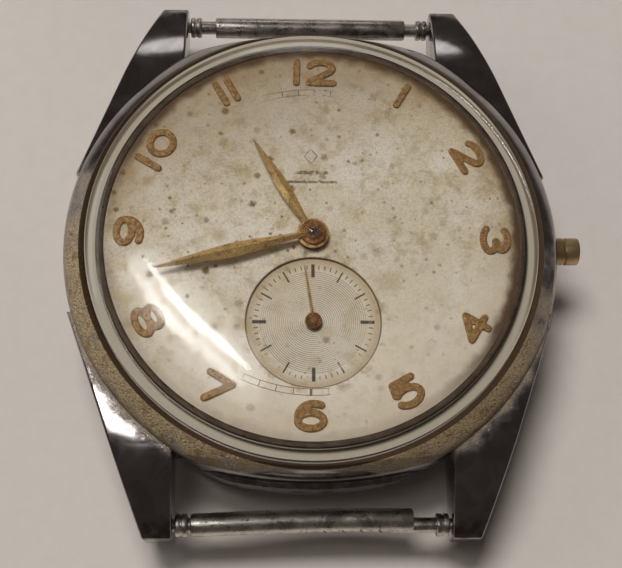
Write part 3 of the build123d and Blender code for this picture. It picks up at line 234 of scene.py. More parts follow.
class Finish:
    """A procedural finish laid out in millimetres on the piece itself."""

    def __init__(self, name, colour=(0.8, 0.8, 0.8, 1), roughness=0.4, metal=0.0):
        self.material = bpy.data.materials.new(name)
        self.material.use_nodes = True
        self.tree = self.material.node_tree
        self.shader = self.tree.nodes["Principled BSDF"]
        self.shader.inputs["Base Color"].default_value = colour
        self.shader.inputs["Roughness"].default_value = roughness
        self.shader.inputs["Metallic"].default_value = metal
        place = self.tree.nodes.new("ShaderNodeTexCoord")
        scale = self.tree.nodes.new("ShaderNodeVectorMath")
        scale.operation = "SCALE"
        scale.inputs["Scale"].default_value = 1 / MM
        self.tree.links.new(place.outputs["Object"], scale.inputs[0])
        self.mm = scale.outputs[0]

    def feed(self, socket, value):
        if isinstance(value, bpy.types.NodeSocket):
            self.tree.links.new(value, socket)
        else:
            socket.default_value = value

    def set(self, **values):
        for name, value in values.items():
            self.feed(self.shader.inputs[name.replace("_", " ")], value)
        return self

    def math(self, operation, *values):
        made = self.tree.nodes.new("ShaderNodeMath")
        made.operation = operation
        for socket, value in zip(made.inputs, values):
            self.feed(socket, value)
        return made.outputs[0]

    def split(self, centre=(0, 0, 0)):
        """The three coordinates in millimetres, counted from a centre."""
        moved_to = self.tree.nodes.new("ShaderNodeVectorMath")
        moved_to.operation = "SUBTRACT"
        self.feed(moved_to.inputs[0], self.mm)
        moved_to.inputs[1].default_value = centre
        made = self.tree.nodes.new("ShaderNodeSeparateXYZ")
        self.feed(made.inputs[0], moved_to.outputs[0])
        return made.outputs[0], made.outputs[1], made.outputs[2]

    def polar(self, centre=(0, 0)):
        """Distance from a centre, and the angle clockwise from twelve in radians."""
        x, y, _ = self.split((*centre, 0))
        squares = self.math("ADD", self.math("MULTIPLY", x, x), self.math("MULTIPLY", y, y))
        return self.math("SQRT", squares), self.math("ARCTAN2", x, y)

    def stretched(self, x=1.0, y=1.0, z=1.0):
        made = self.tree.nodes.new("ShaderNodeMapping")
        self.feed(made.inputs["Vector"], self.mm)
        made.inputs["Scale"].default_value = (x, y, z)
        return made.outputs[0]

    def cloud(self, size, detail=3.0, roughness=0.55, where=None, warp=0.0):
        """Soft noise whose lumps are about size millimetres."""
        made = self.tree.nodes.new("ShaderNodeTexNoise")
        self.feed(made.inputs["Vector"], where or self.mm)
        made.inputs["Scale"].default_value = 1 / size
        made.inputs["Detail"].default_value = detail
        made.inputs["Roughness"].default_value = roughness
        made.inputs["Distortion"].default_value = warp
        return made.outputs[0]

    def cells(self, size):
        """Distance from points scattered about size millimetres apart, and each point's colour."""
        made = self.tree.nodes.new("ShaderNodeTexVoronoi")
        self.feed(made.inputs["Vector"], self.mm)
        made.inputs["Scale"].default_value = 1 / size
        return made.outputs["Distance"], made.outputs["Color"]

    def ramp(self, value, low, high, start=0.0, end=1.0):
        """Rises smoothly from start at low to end at high."""
        made = self.tree.nodes.new("ShaderNodeMapRange")
        made.interpolation_type = "SMOOTHSTEP"
        limits = {"From Min": low, "From Max": high, "To Min": start, "To Max": end}
        for key, number in limits.items():
            made.inputs[key].default_value = number
        self.feed(made.inputs["Value"], value)
        return made.outputs[0]

    def chain(self, operation, values):
        result = values[0]
        for value in values[1:]:
            result = self.math(operation, result, value)
        return result

    def times(self, *values):
        return self.chain("MULTIPLY", values)

    def plus(self, *values):
        return self.chain("ADD", values)

    def most(self, *values):
        return self.chain("MAXIMUM", values)

    def less(self, value):
        return self.math("SUBTRACT", 1.0, value)

    def band(self, value, middle, half, soft=0.3):
        """One near the middle value, nothing further off than half."""
        off = self.math("ABSOLUTE", self.math("SUBTRACT", value, middle))
        return self.ramp(off, half * (1 - soft), half * (1 + soft), 1.0, 0.0)

    def mix(self, amount, first, second, mode="MIX"):
        made = self.tree.nodes.new("ShaderNodeMix")
        made.data_type = "RGBA"
        made.blend_type = mode
        self.feed(made.inputs[0], amount)
        self.feed(made.inputs[6], first)
        self.feed(made.inputs[7], second)
        return made.outputs[2]

    def relief(self, height, depth, over=None):
        """A bump of the given depth in millimetres; returns the new normal."""
        made = self.tree.nodes.new("ShaderNodeBump")
        made.inputs["Distance"].default_value = depth * MM
        self.feed(made.inputs["Height"], height)
        if over is not None:
            self.feed(made.inputs["Normal"], over)
        return made.outputs[0]


def case_steel():
    """Polished case steel, pitted and grimed where it was worn against the skin."""
    f = Finish("case_steel", metal=1.0)
    radius, angle = f.polar()
    x, y, z = f.split()
    grain = f.cloud(0.1, 4.0, 0.75)
    smear = f.cloud(1.8, 4.0, 0.6, warp=0.6)

    # where the wear sits: on the bezel and the lugs' roots, most of it below nine and three
    turn = f.math("ABSOLUTE", f.math("ADD", angle, math.radians(-12)))
    lower = f.ramp(f.plus(turn, f.times(f.cloud(2.5), 0.8)), 1.75, 2.35)
    between_lugs = f.times(
        f.ramp(f.math("ABSOLUTE", x), 9.2, 8.2), f.ramp(f.math("ABSOLUTE", y), 15.35, 15.6)
    )
    reach = f.ramp(f.plus(radius, f.times(f.cloud(1.1, 4.0), 1.6)), 18.3, 16.9)
    bezel = f.times(f.ramp(radius, 15.1, 15.2), reach, f.ramp(z, 5.9, 6.4), f.less(between_lugs))
    pitted = f.times(bezel, lower, f.ramp(f.cloud(1.3, 4.0, 0.65), 0.2, 0.42))
    faint = f.times(bezel, f.less(lower), f.ramp(f.cloud(0.5), 0.58, 0.75), 0.4)
    rust = f.times(pitted, f.ramp(f.cloud(0.7, 4.0, 0.7), 0.52, 0.66))
    grime = f.times(f.band(radius, 15.32, 0.19, 0.1), f.ramp(z, 6.9, 7.1))
    ledge = f.times(f.band(z, 4.2, 0.75, 0.2), f.ramp(radius, 15.6, 15.9))
    ledge = f.times(ledge, f.ramp(f.cloud(0.6, 4.0), 0.4, 0.6), 0.6)

    steel = f.mix(f.ramp(smear, 0.35, 0.7), tint(150, 144, 144), tint(172, 168, 168))
    dirt = f.mix(f.ramp(grain, 0.35, 0.62), tint(84, 62, 38), tint(206, 184, 146))
    colour = f.mix(f.plus(pitted, faint), steel, dirt)
    colour = f.mix(f.times(rust, 0.6), colour, tint(112, 80, 44))
    colour = f.mix(ledge, colour, tint(92, 74, 54))
    colour = f.mix(grime, colour, tint(66, 50, 34))

    # painted light and shade: the crystal's seat carries pale and dark rings that stand in for the
    # light and shade of the crystal's rim above it
    seat = f.times(f.ramp(radius, 15.12, 15.08), f.ramp(z, 7.0, 7.04))
    rings = f.mix(f.band(radius, 14.98, 0.1, 0.3), tint(122, 110, 94), tint(198, 190, 176))
    rings = f.mix(f.band(radius, 14.5, 0.19, 0.3), rings, tint(192, 184, 170))
    rings = f.mix(f.ramp(radius, 14.3, 14.22), rings, tint(104, 90, 72))
    colour = f.mix(seat, colour, rings)

    sheen = f.ramp(smear, 0.3, 0.7, 0.1, 0.15)
    dull = f.plus(f.times(pitted, f.ramp(grain, 0.3, 0.6, 0.3, 0.12)), f.times(grime, 0.6))
    covered = f.most(f.times(pitted, f.ramp(grain, 0.42, 0.6, 0.95, 0.65)), grime, seat)
    spots, _ = f.cells(0.2)
    pits = f.plus(f.times(pitted, grain), f.times(pitted, f.ramp(spots, 0.1, 0.5), 0.5))
    scratches = f.cloud(0.05, 2.0, where=f.stretched(1.0, 0.12, 1.0))
    waves = f.plus(f.times(scratches, 0.1), f.cloud(3.0, 2.0))
    f.set(
        Base_Color=colour,
        Roughness=f.plus(sheen, dull),
        Metallic=f.less(covered),
        Normal=f.relief(waves, 0.012, f.relief(pits, 0.06)),
    )
    return f.material


def polished_steel(name="polished_steel", shade=(150, 144, 138), low=0.12, high=0.3):
    """Bright steel dulled by handling, with fine scratches along it."""
    f = Finish(name, metal=1.0)
    smear = f.cloud(0.9, 4.0, 0.6, warp=0.5)
    scratch = f.cloud(0.06, 2.0, where=f.stretched(0.08, 1.0, 1.0))
    spots = f.ramp(f.cloud(0.25, 3.0), 0.62, 0.72)
    darker = tint(*[value * 0.8 for value in shade])
    steel = f.mix(f.ramp(smear, 0.35, 0.68), darker, tint(*shade))
    f.set(
        Base_Color=f.mix(spots, steel, tint(74, 60, 46)),
        Roughness=f.plus(f.ramp(smear, 0.3, 0.7, low, high), f.times(spots, 0.25)),
        Normal=f.relief(f.plus(scratch, f.times(smear, 0.6)), 0.01),
    )
    return f.material


def crystal_acrylic():
    """Clear domed acrylic that lets light through to the dial."""
    f = Finish("crystal_acrylic", (0.985, 0.975, 0.955, 1), 0.055)
    f.set(IOR=1.49, Transmission_Weight=1.0, Normal=f.relief(f.cloud(2.2, 2.0), 0.004))
    path = f.tree.nodes.new("ShaderNodeLightPath")
    through = f.tree.nodes.new("ShaderNodeBsdfTransparent")
    through.inputs["Color"].default_value = (0.93, 0.92, 0.9, 1)
    choice = f.tree.nodes.new("ShaderNodeMixShader")
    passing = f.most(path.outputs["Is Shadow Ray"], path.outputs["Is Diffuse Ray"])
    f.feed(choice.inputs[0], passing)
    f.feed(choice.inputs[1], f.shader.outputs[0])
    f.feed(choice.inputs[2], through.outputs[0])
    f.feed(f.tree.nodes["Material Output"].inputs["Surface"], choice.outputs[0])
    return f.material


def ticks(f, radius, angle, count, inner, outer, half):
    """A ring of short radial lines, each twice half wide."""
    share = f.math("MULTIPLY", angle, count / (2 * math.pi))
    off = f.math("ABSOLUTE", f.math("SUBTRACT", share, f.math("ROUND", share)))
    across = f.times(off, 2 * math.pi / count, radius)
    line = f.ramp(across, half * 0.6, half * 1.3, 1.0, 0.0)
    return f.times(line, f.band(radius, (inner + outer) / 2, (outer - inner) / 2, 0.08))


def freckles(f, size, share, low, high):
    """Scattered soft spots; share tells how many of the points grow one."""
    distance, colour = f.cells(size)
    chosen = f.tree.nodes.new("ShaderNodeSeparateColor")
    f.feed(chosen.inputs[0], colour)
    grown = f.ramp(chosen.outputs[0], 1 - share - 0.03, 1 - share + 0.03)
    wide = f.ramp(chosen.outputs[1], 0.0, 1.0, 0.55, 1.25)
    fray = f.times(f.plus(f.cloud(0.12, 3.0), -0.5), 0.25)
    ragged = f.plus(f.math("DIVIDE", distance, wide), fray)
    return f.times(grown, f.ramp(ragged, low, high, 1.0, 0.0))


def dial_ageing(f, centre_tint, edge_tint):
    """Cream lacquer gone patchy, with fine grain and olive stains that have dark cores."""
    radius, _ = f.polar()
    x, y, _ = f.split()

    # broad and middling patches, warmer towards the rim and the top
    broad = f.cloud(5.0, 4.0, 0.65, warp=0.4)
    middle = f.cloud(1.3, 5.0, 0.7)
    colour = f.mix(f.ramp(broad, 0.38, 0.62), centre_tint, tint(236, 230, 220))
    colour = f.mix(f.ramp(middle, 0.46, 0.68, 0.0, 0.6), colour, tint(176, 156, 108))
    warm = f.plus(f.ramp(radius, 10.8, 13.9), f.times(f.ramp(y, 5.0, 13.0), 0.35))
    warm = f.times(warm, f.ramp(f.cloud(2.2), 0.3, 0.7, 0.3, 0.75))
    colour = f.mix(warm, colour, edge_tint)

    # grain, dark and light
    grain = f.cloud(0.11, 3.0, 0.75)
    colour = f.mix(f.ramp(grain, 0.42, 0.72, 0.0, 0.42), colour, tint(140, 120, 84))
    colour = f.mix(f.ramp(grain, 0.5, 0.24, 0.0, 0.4), colour, tint(238, 232, 220))

    # stains: wide halos, large cores and small specks, thicker in some places than others
    where = f.ramp(f.plus(f.cloud(4.0, 2.0), f.times(x, -0.008)), 0.4, 0.56)
    halo = f.times(freckles(f, 1.5, 0.6, 0.08, 0.46), f.plus(f.times(where, 0.8), 0.2))
    large = f.times(freckles(f, 1.15, 0.55, 0.1, 0.27), f.plus(f.times(where, 0.7), 0.3))
    small = f.times(freckles(f, 0.5, 0.42, 0.1, 0.28), f.ramp(f.cloud(2.4), 0.36, 0.58, 0.12, 0.85))
    colour = f.mix(f.times(halo, 0.65), colour, tint(172, 146, 80))
    colour = f.mix(large, colour, tint(108, 86, 38))
    colour = f.mix(small, colour, tint(124, 104, 62))
    return colour, grain


def dial_lacquer():
    """The dial face: aged cream lacquer with a worn railway track and a faint printed mark."""
    f = Finish("dial_lacquer")
    colour, grain = dial_ageing(f, tint(226, 216, 196), tint(170, 144, 104))
    radius, angle = f.polar()
    x, y, _ = f.split()

    # browner towards the top, paler towards six
    shade = f.ramp(f.plus(y, f.times(x, -0.35)), 2.0, 13.0)
    colour = f.mix(f.times(shade, 0.55), colour, tint(142, 120, 90))
    paler_to_six = f.ramp(f.plus(y, f.times(x, -0.2)), 0.0, -10.0)
    colour = f.mix(f.times(paler_to_six, 0.6), colour, tint(240, 230, 214))

    # the minute track, worn off but for traces at twelve and six
    dial_angle = f.math("SUBTRACT", angle, math.radians(DIAL_TURN))
    track = f.most(
        f.band(radius, TRACK_INNER, 0.022),
        f.band(radius, TRACK_OUTER, 0.022),
        ticks(f, radius, dial_angle, 60, TRACK_INNER, TRACK_OUTER, 0.03),
        ticks(f, radius, dial_angle, 12, TRACK_INNER, TRACK_OUTER + 0.04, 0.09),
    )
    kept = f.most(
        f.times(f.band(angle, math.radians(-6), 0.3, 0.8), 0.5),
        f.band(angle, math.radians(-174), 0.34, 0.4),
        f.band(angle, math.radians(186), 0.2, 0.4),
    )
    left = f.ramp(f.plus(f.cloud(1.1, 4.0, 0.6), f.times(kept, 0.42)), 0.55, 0.8)
    colour = f.mix(f.times(track, left, 0.85), colour, tint(62, 52, 40))

    # the printed mark: a lozenge outline over two bars
    lozenge = f.plus(
        f.times(f.math("ABSOLUTE", f.plus(x, 0.1)), 1.25), f.math("ABSOLUTE", f.plus(y, -5.75))
    )
    mark = f.most(
        f.times(f.band(y, 4.55, 0.13), f.band(x, -0.1, 1.15, 0.03)),
        f.times(f.band(y, 3.85, 0.09), f.band(x, -0.1, 1.75, 0.02)),
        f.band(lozenge, 0.55, 0.06),
    )
    mark = f.times(mark, f.ramp(f.cloud(0.3, 4.0, 0.7), 0.36, 0.56), 0.8)
    colour = f.mix(mark, colour, tint(78, 66, 50))

    # round the subdial a stain and a dark rim, and a dark edge under the ring
    sub_radius, _ = f.polar(SUBDIAL)
    stain = f.times(f.ramp(sub_radius, 5.4, 4.4), f.ramp(f.cloud(0.9, 4.0), 0.5, 0.66))
    colour = f.mix(f.times(stain, 0.55), colour, tint(150, 124, 74))
    rim = f.band(sub_radius, SUBDIAL_RADIUS + 0.02, 0.05, 0.5)
    colour = f.mix(f.times(rim, 0.85), colour, tint(98, 76, 48))
    edge = f.ramp(f.plus(radius, f.times(f.cloud(1.2, 4.0), 0.9)), 13.35, 14.1)
    edge = f.times(edge, f.ramp(f.plus(y, f.times(x, 0.6)), -9.0, 2.0, 0.25, 1.0))
    colour = f.mix(f.times(edge, 0.95), colour, tint(78, 54, 32))
    f.set(
        Base_Color=colour,
        Roughness=f.ramp(grain, 0.3, 0.7, 0.38, 0.6),
        Normal=f.relief(grain, 0.02),
    )
    return f.material


def subdial_lacquer():
    """The sunk seconds dial: pinkish lacquer with turned rings and worn seconds marks."""
    f = Finish("subdial_lacquer", roughness=0.45)
    colour, grain = dial_ageing(f, tint(226, 214, 192), tint(176, 152, 118))
    colour = f.mix(0.3, colour, tint(222, 210, 190))
    radius, angle = f.polar(SUBDIAL)
    _, y, _ = f.split()
    rim = f.ramp(radius, RINGS_RADIUS, 4.3)
    colour = f.mix(f.times(rim, 0.55), colour, tint(178, 152, 112))

    # painted highlight and shade: the turned rings are drawn as dark and pale bands, brightest in
    # two opposite fans
    highlight_fan = f.plus(f.times(f.math("SINE", f.plus(f.times(angle, 2.0), 0.6)), 0.5), 0.5)
    groove = f.ramp(f.math("SINE", f.times(radius, 2 * math.pi / RING_PITCH)), -0.7, 0.9)
    rings = f.times(f.ramp(radius, RINGS_RADIUS, 3.4), f.plus(f.times(highlight_fan, 0.35), 0.3))
    colour = f.mix(f.times(groove, rings), colour, tint(128, 110, 82))
    colour = f.mix(f.times(f.less(groove), rings, 0.6), colour, tint(240, 234, 222))

    # marks each second, each five seconds and each quarter
    worn = f.ramp(f.plus(f.cloud(0.9, 4.0, 0.6), f.times(f.ramp(y, -8.5, -4.0), 0.25)), 0.4, 0.6)
    fives_worn = f.ramp(f.cloud(1.3), 0.3, 0.42)
    quarters_worn = f.ramp(f.cloud(0.5, 4.0), 0.25, 0.4)
    marks = f.most(
        f.times(ticks(f, radius, angle, 60, 3.6, 3.88, 0.036), worn, 0.8),
        f.times(ticks(f, radius, angle, 12, 3.1, 3.92, 0.055), fives_worn, 0.9),
        f.times(ticks(f, radius, angle, 4, 3.05, 3.96, 0.12), quarters_worn, 0.9),
    )
    f.set(Base_Color=f.mix(marks, colour, tint(30, 24, 18)), Normal=f.relief(grain, 0.012))
    return f.material


def aged_gilt(name, bright, dark, patina, rough=0.28, pits=0.12):
    """Gilt metal gone brown in patches."""
    f = Finish(name, metal=1.0)
    patch = f.cloud(pits * 4, 4.0, 0.65)
    pit = f.cloud(pits, 3.0, 0.7)
    start = 0.5 - patina * 0.2
    amount = f.ramp(f.plus(f.times(patch, 0.6), f.times(pit, 0.4)), start, start + 0.18)
    f.set(
        Base_Color=f.mix(amount, bright, dark),
        Roughness=f.plus(rough, f.times(amount, 0.3)),
        Metallic=f.ramp(amount, 0.2, 1.0, 0.62, 0.35),
        Normal=f.relief(pit, pits * 0.3),
    )
    return f.material


def brushed_metal(name, bright, dark, stripe=0.0, rough=0.28):
    """Grained movement metal, with rubbed stripes where a bridge has them."""
    f = Finish(name, metal=1.0)
    grain = f.cloud(0.08, 3.0, where=f.stretched(1.0, 0.15, 1.0))
    haze = f.cloud(2.4, 3.0, 0.6)
    colour = f.mix(f.ramp(haze, 0.35, 0.7), bright, dark)
    if stripe:
        x, y, _ = f.split()
        wave = f.math("SINE", f.times(f.plus(x, y), 2 * math.pi / stripe / math.sqrt(2)))
        colour = f.mix(f.ramp(wave, -1.0, 1.0, 0.0, 0.35), colour, dark)
    f.set(
        Base_Color=colour,
        Roughness=f.ramp(grain, 0.3, 0.7, rough, rough + 0.16),
        Normal=f.relief(grain, 0.006),
    )
    return f.material


def ruby_jewel():
    f = Finish("ruby_jewel", roughness=0.08)
    depth = f.cloud(0.2, 2.0)
    f.set(Base_Color=f.mix(depth, tint(150, 12, 40), tint(214, 40, 80)), Coat_Weight=0.6)
    return f.material


def gasket_rubber():
    f = Finish("gasket_rubber", roughness=0.6)
    wear = f.cloud(0.3, 4.0)
    colour = f.mix(f.ramp(wear, 0.4, 0.7), tint(28, 26, 25), tint(62, 58, 52))
    f.set(Base_Color=colour, Normal=f.relief(wear, 0.02))
    return f.material


def bench_top():
    """The pale floor, darker away from the watch so that its steel mirrors a dim room."""
    f = Finish("pale_floor", roughness=0.75)
    weave = f.cloud(1.2, 4.0, 0.6)
    haze = f.cloud(60.0, 2.0)
    away, _ = f.polar()
    colour = f.mix(f.ramp(haze, 0.3, 0.7), tint(203, 196, 190), tint(209, 201, 194))
    colour = f.mix(f.ramp(away, 40.0, 150.0), colour, tint(70, 64, 60))
    colour = f.mix(f.ramp(weave, 0.35, 0.7, 0.0, 0.12), colour, tint(180, 170, 160))
    f.set(Base_Color=colour, Normal=f.relief(weave, 0.01))
    return f.material


CASE_STEEL = case_steel()
BAR_STEEL = polished_steel("bar_steel", (236, 228, 218), 0.24, 0.4)
RING_STEEL = polished_steel("ring_steel", (132, 114, 98), 0.5, 0.65)
BACK_STEEL = polished_steel("back_steel", (160, 154, 150), 0.2, 0.4)
POST_STEEL = polished_steel("post_steel", (180, 172, 164), 0.12, 0.25)
CRYSTAL = crystal_acrylic()
DIAL_FACE = dial_lacquer()
SUBDIAL_FACE = subdial_lacquer()
HAND_GILT = aged_gilt("hand_gilt", tint(236, 200, 138), tint(140, 106, 64), 0.3, 0.26, 0.08)
HUB_GILT = aged_gilt("hub_gilt", tint(178, 128, 84), tint(104, 70, 44), 0.5)
NUMERAL_GILT = aged_gilt("numeral_gilt", tint(196, 158, 108), tint(140, 106, 66), 0.45, 0.34, 0.07)
TUBE_METAL = brushed_metal("tube_metal", tint(232, 206, 164), tint(196, 164, 120), rough=0.45)
NICKEL = brushed_metal("movement_nickel", tint(206, 200, 192), tint(160, 152, 144), stripe=1.6)
BRASS = brushed_metal("wheel_brass", tint(214, 176, 104), tint(160, 124, 68))
SLOT_FINISHES = {
    "case_steel": CASE_STEEL,
    "polished_steel": polished_steel(),
    "crystal": CRYSTAL,
    "gasket": gasket_rubber(),
    "tube_metal": TUBE_METAL,
    "dial_paint": DIAL_FACE,
    "gilt": HAND_GILT,
    "movement_nickel": NICKEL,
    "wheel_brass": BRASS,
    "blued_steel": polished_steel("blued_steel", (66, 84, 128), 0.15, 0.3),
    "ruby": ruby_jewel(),
}


# ---------------------------------------------------------------- case
def arc(first, middle, last, steps):
    """Points on the circle through three points."""
    (ax, ay), (bx, by), (cx, cy) = first, middle, last
    d = 2 * (ax * (by - cy) + bx * (cy - ay) + cx * (ay - by))
    a2, b2, c2 = ax * ax + ay * ay, bx * bx + by * by, cx * cx + cy * cy
    ux = (a2 * (by - cy) + b2 * (cy - ay) + c2 * (ay - by)) / d
    uy = (a2 * (cx - bx) + b2 * (ax - cx) + c2 * (bx - ax)) / d
    radius = math.hypot(ax - ux, ay - uy)
    start = math.atan2(ay - uy, ax - ux)
    end = math.atan2(cy - uy, cx - ux)
    return [
        (ux + radius * math.cos(start + (end - start) * n / steps),
         uy + radius * math.sin(start + (end - start) * n / steps))
        for n in range(steps + 1)
    ]


def lug(side, end):
    """One curved lug, its flank cut at a slant and its long edges worn round."""
    root = 5.0
    top = [(root, 6.5)] + arc((13.0, 6.45), (16.4, 5.75), (LUG_TIP_Y, 4.33), 12)
    outline = top + [(LUG_TIP_Y, 2.3), (13.0, 2.15), (root, 2.7)]
    bm = bmesh.new()
    inner = bm.faces.new([bm.verts.new((LUG_GAP / 2, y, z)) for y, z in outline])
    grown = bmesh.ops.extrude_face_region(bm, geom=[inner])
    outer = [item for item in grown["geom"] if isinstance(item, bmesh.types.BMVert)]
    bmesh.ops.translate(bm, vec=(7.4, 0, 0), verts=outer)
    corner = Vector((LUG_TIP_X, LUG_TIP_Y, 0))
    flank = corner - Vector((15.87, 5.81, 0))
    bmesh.ops.bisect_plane(
        bm, geom=bm.verts[:] + bm.edges[:] + bm.faces[:], plane_co=corner,
        plane_no=(flank.y, -flank.x, 0), clear_outer=True,
    )
    bmesh.ops.holes_fill(bm, edges=[edge for edge in bm.edges if edge.is_boundary], sides=0)
    closed(bm)
    worn = [
        edge for edge in bm.edges
        if len(edge.link_faces) == 2
        and edge.calc_face_angle(0) > 0.5
        and min(v.co.y for v in edge.verts) > 4.9
        and max(v.co.y for v in edge.verts) > 6.0
    ]
    bmesh.ops.bevel(
        bm, geom=worn, offset=0.17, offset_type="OFFSET", segments=4, profile=0.5,
        material=-1, affect="EDGES", clamp_overlap=True,
    )
    moved(bm, Matrix.Diagonal((side, end, 1, 1)))
    return closed(bm)


def end_cut(end):
    """What is cut away between two lugs, leaving an end that leans in and rounds over a ledge."""
    wall = turned([
        (0, 0), (END_CURVE + END_LEDGE, 0), (END_CURVE + END_LEDGE, END_LEDGE_TOP, 0.08),
        (END_CURVE - 0.05, END_LEDGE_TOP + 0.06, 0.04), (END_CURVE - 0.12, 5.9, 0.5),
        (END_CURVE - 0.55, 7.25, 0.45), (END_CURVE - 1.0, 7.85), (END_CURVE - 4.0, 9.0), (0, 9.0),
    ], 720, 6)
    shifted(wall, 0, end * (END_Y - END_CURVE))
    gap = shifted(block(LUG_GAP, 12.0, 8.8), 0, end * 13.5, 4.3)
    return worked(gap, wall, "DIFFERENCE")


def make_case():
    ring = turned([
        (BORE_RADIUS, CASE_LOW), (15.6, CASE_LOW, 0.05), (16.35, 1.85, 0.1), (16.35, 2.9, 0.05),
        (CASE_RADIUS, 3.3, 0.12), (CASE_RADIUS, 6.7, 0.42), (15.47, BEZEL_TOP, 0.1), (15.2, 7.4),
        (SEAT_RADIUS, SEAT_HEIGHT), (BORE_RADIUS, SEAT_HEIGHT),
    ], 288, 5)
    for end in (-1, 1):
        ring = worked(ring, end_cut(end), "DIFFERENCE")
    lugs = gathered(*(lug(side, end) for side in (-1, 1) for end in (-1, 1)))
    lugs = worked(lugs, rod(14.5, 0, 9, 192), "DIFFERENCE")
    body = worked(ring, lugs, "UNION")
    for end in (-1, 1):
        bar_holes = along_x(rod(0.45, -9.85, 9.85), end * BAR_Y, BAR_Z)
        body = worked(body, bar_holes, "DIFFERENCE")
    tube_hole = along_x(rod(0.96, 12.0, 19.0), 0, STEM_Z)
    body = worked(body, tube_hole, "DIFFERENCE")
    return piece("case_middle", body, [CASE_STEEL], "case", ["case_middle"])


def make_crystal():
    """A crystal domed in one curve, with an upright rim and a rounded shoulder."""
    under = CRYSTAL_TOP - CRYSTAL_THICK
    outside = arc((14.8, 8.22), (8.0, 9.4494), (0.0, CRYSTAL_TOP), 40)[:-1]
    inside = arc((14.05, 7.575), (8.0, 8.5413), (0.0, under), 40)[:-1]
    profile = [
        (14.25, CRYSTAL_LOW, 0.03), (CRYSTAL_RADIUS, CRYSTAL_LOW, 0.05),
        (CRYSTAL_RADIUS, 8.0, 0.16), *outside, (0.0, CRYSTAL_TOP),
        (0.0, under), *inside[::-1], (14.25, 7.52, 0.04),
    ]
    return piece("crystal", turned(profile, 256, 4), [CRYSTAL], "case", ["crystal"], 40)


def make_tension_ring():
    name = "crystal_tension_ring"
    ring = turned([
        (13.75, 7.44, 0.03), (14.0, 7.08), (14.22, 7.08), (14.22, 7.45, 0.04),
        (14.12, 7.53, 0.03), (13.86, 7.5, 0.03),
    ], 256)
    return piece(name, ring, [RING_STEEL], "case", [name])


def make_back():
    """The pressed back: a flat centre, a rounded shoulder and a snap wall."""
    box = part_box("case_back")
    radius = box[1].x / MM
    top = box[1].z / MM
    flange = CASE_LOW - 0.04
    outer_wall, inner_wall = BORE_RADIUS - 0.05, BORE_RADIUS - 0.6
    back = turned([
        (0, 0), (9.0, 0, 0.4), (radius - 1.2, 0.55, 0.5), (radius, 0.98, 0.12),
        (radius, flange, 0.06), (outer_wall, flange, 0.05), (outer_wall, top, 0.08),
        (inner_wall, top, 0.08), (inner_wall, 1.3), (9.0, 0.62), (0, 0.62),
    ], 256, 4)
    pry_slot = shifted(block(1.6, 0.5, 0.3), 0, -radius, 1.25)
    back = worked(back, pry_slot, "DIFFERENCE")
    return piece("case_back", back, [BACK_STEEL], "case", ["case_back"])


def make_pendant_tube():
    """The bare tube that the winding stem runs in, with a groove turned round it."""
    tube = turned([
        (0.62, 14.0), (1.05, 14.0), (1.05, TUBE_STEP), (0.94, TUBE_STEP), (0.94, 17.35, 0.03),
        (0.88, 17.4, 0.03), (0.88, 17.5, 0.03), (0.94, 17.55, 0.03), (0.94, TUBE_END, 0.09),
        (0.62, TUBE_END, 0.06),
    ], 96)
    tube = along_x(tube, 0, STEM_Z)
    return piece("pendant_tube", tube, [TUBE_METAL], "case", ["pendant_tube"])


# ---------------------------------------------------------------- dial
def make_dial():
    """The dial plate with its hollow for the seconds dial and the holes for both arbors."""
    plate = turned([
        (0, DIAL_LOW), (DIAL_RADIUS, DIAL_LOW), (DIAL_RADIUS, DIAL_HIGH, 0.05), (0, DIAL_HIGH),
    ], 256)
    hollow = shifted(rod(SUBDIAL_RADIUS, 7.18, 8.0, 192), *SUBDIAL)
    centre_hole = rod(1.0, 6.0, 8.0, 96)
    seconds_hole = shifted(rod(0.35, 6.0, 8.0, 48), *SUBDIAL)
    for cutter in (hollow, centre_hole, seconds_hole):
        plate = worked(plate, cutter, "DIFFERENCE")
    return piece("dial", plate, [DIAL_FACE], "case", ["dial"])


def make_subdial():
    """The sunk seconds dial, turned with fine rings."""
    hole, rim, depth = 0.36, SUBDIAL_RADIUS - 0.01, 0.011
    profile = [(hole, SUBDIAL_LOW), (hole, SUBDIAL_FLOOR)]
    radius = 0.66
    while radius < RINGS_RADIUS - 0.05:
        profile += [(radius, SUBDIAL_FLOOR), (radius + RING_PITCH * 0.5, SUBDIAL_FLOOR - depth)]
        radius += RING_PITCH
    profile += [(RINGS_RADIUS, SUBDIAL_FLOOR), (rim, SUBDIAL_FLOOR), (rim, SUBDIAL_LOW)]
    disc = shifted(turned(profile, 160), *SUBDIAL)
    return piece("subdial", disc, [SUBDIAL_FACE], "case", sharp=60)


def bow(middle_x, middle_y, wide, high, start, end):
    """Points along part of an ellipse, from one angle to another, anticlockwise from its right."""
    steps = max(6, round(abs(end - start) / 12))
    angles = [math.radians(start + (end - start) * n / steps) for n in range(steps + 1)]
    return [(middle_x + wide * math.cos(a), middle_y + high * math.sin(a)) for a in angles]


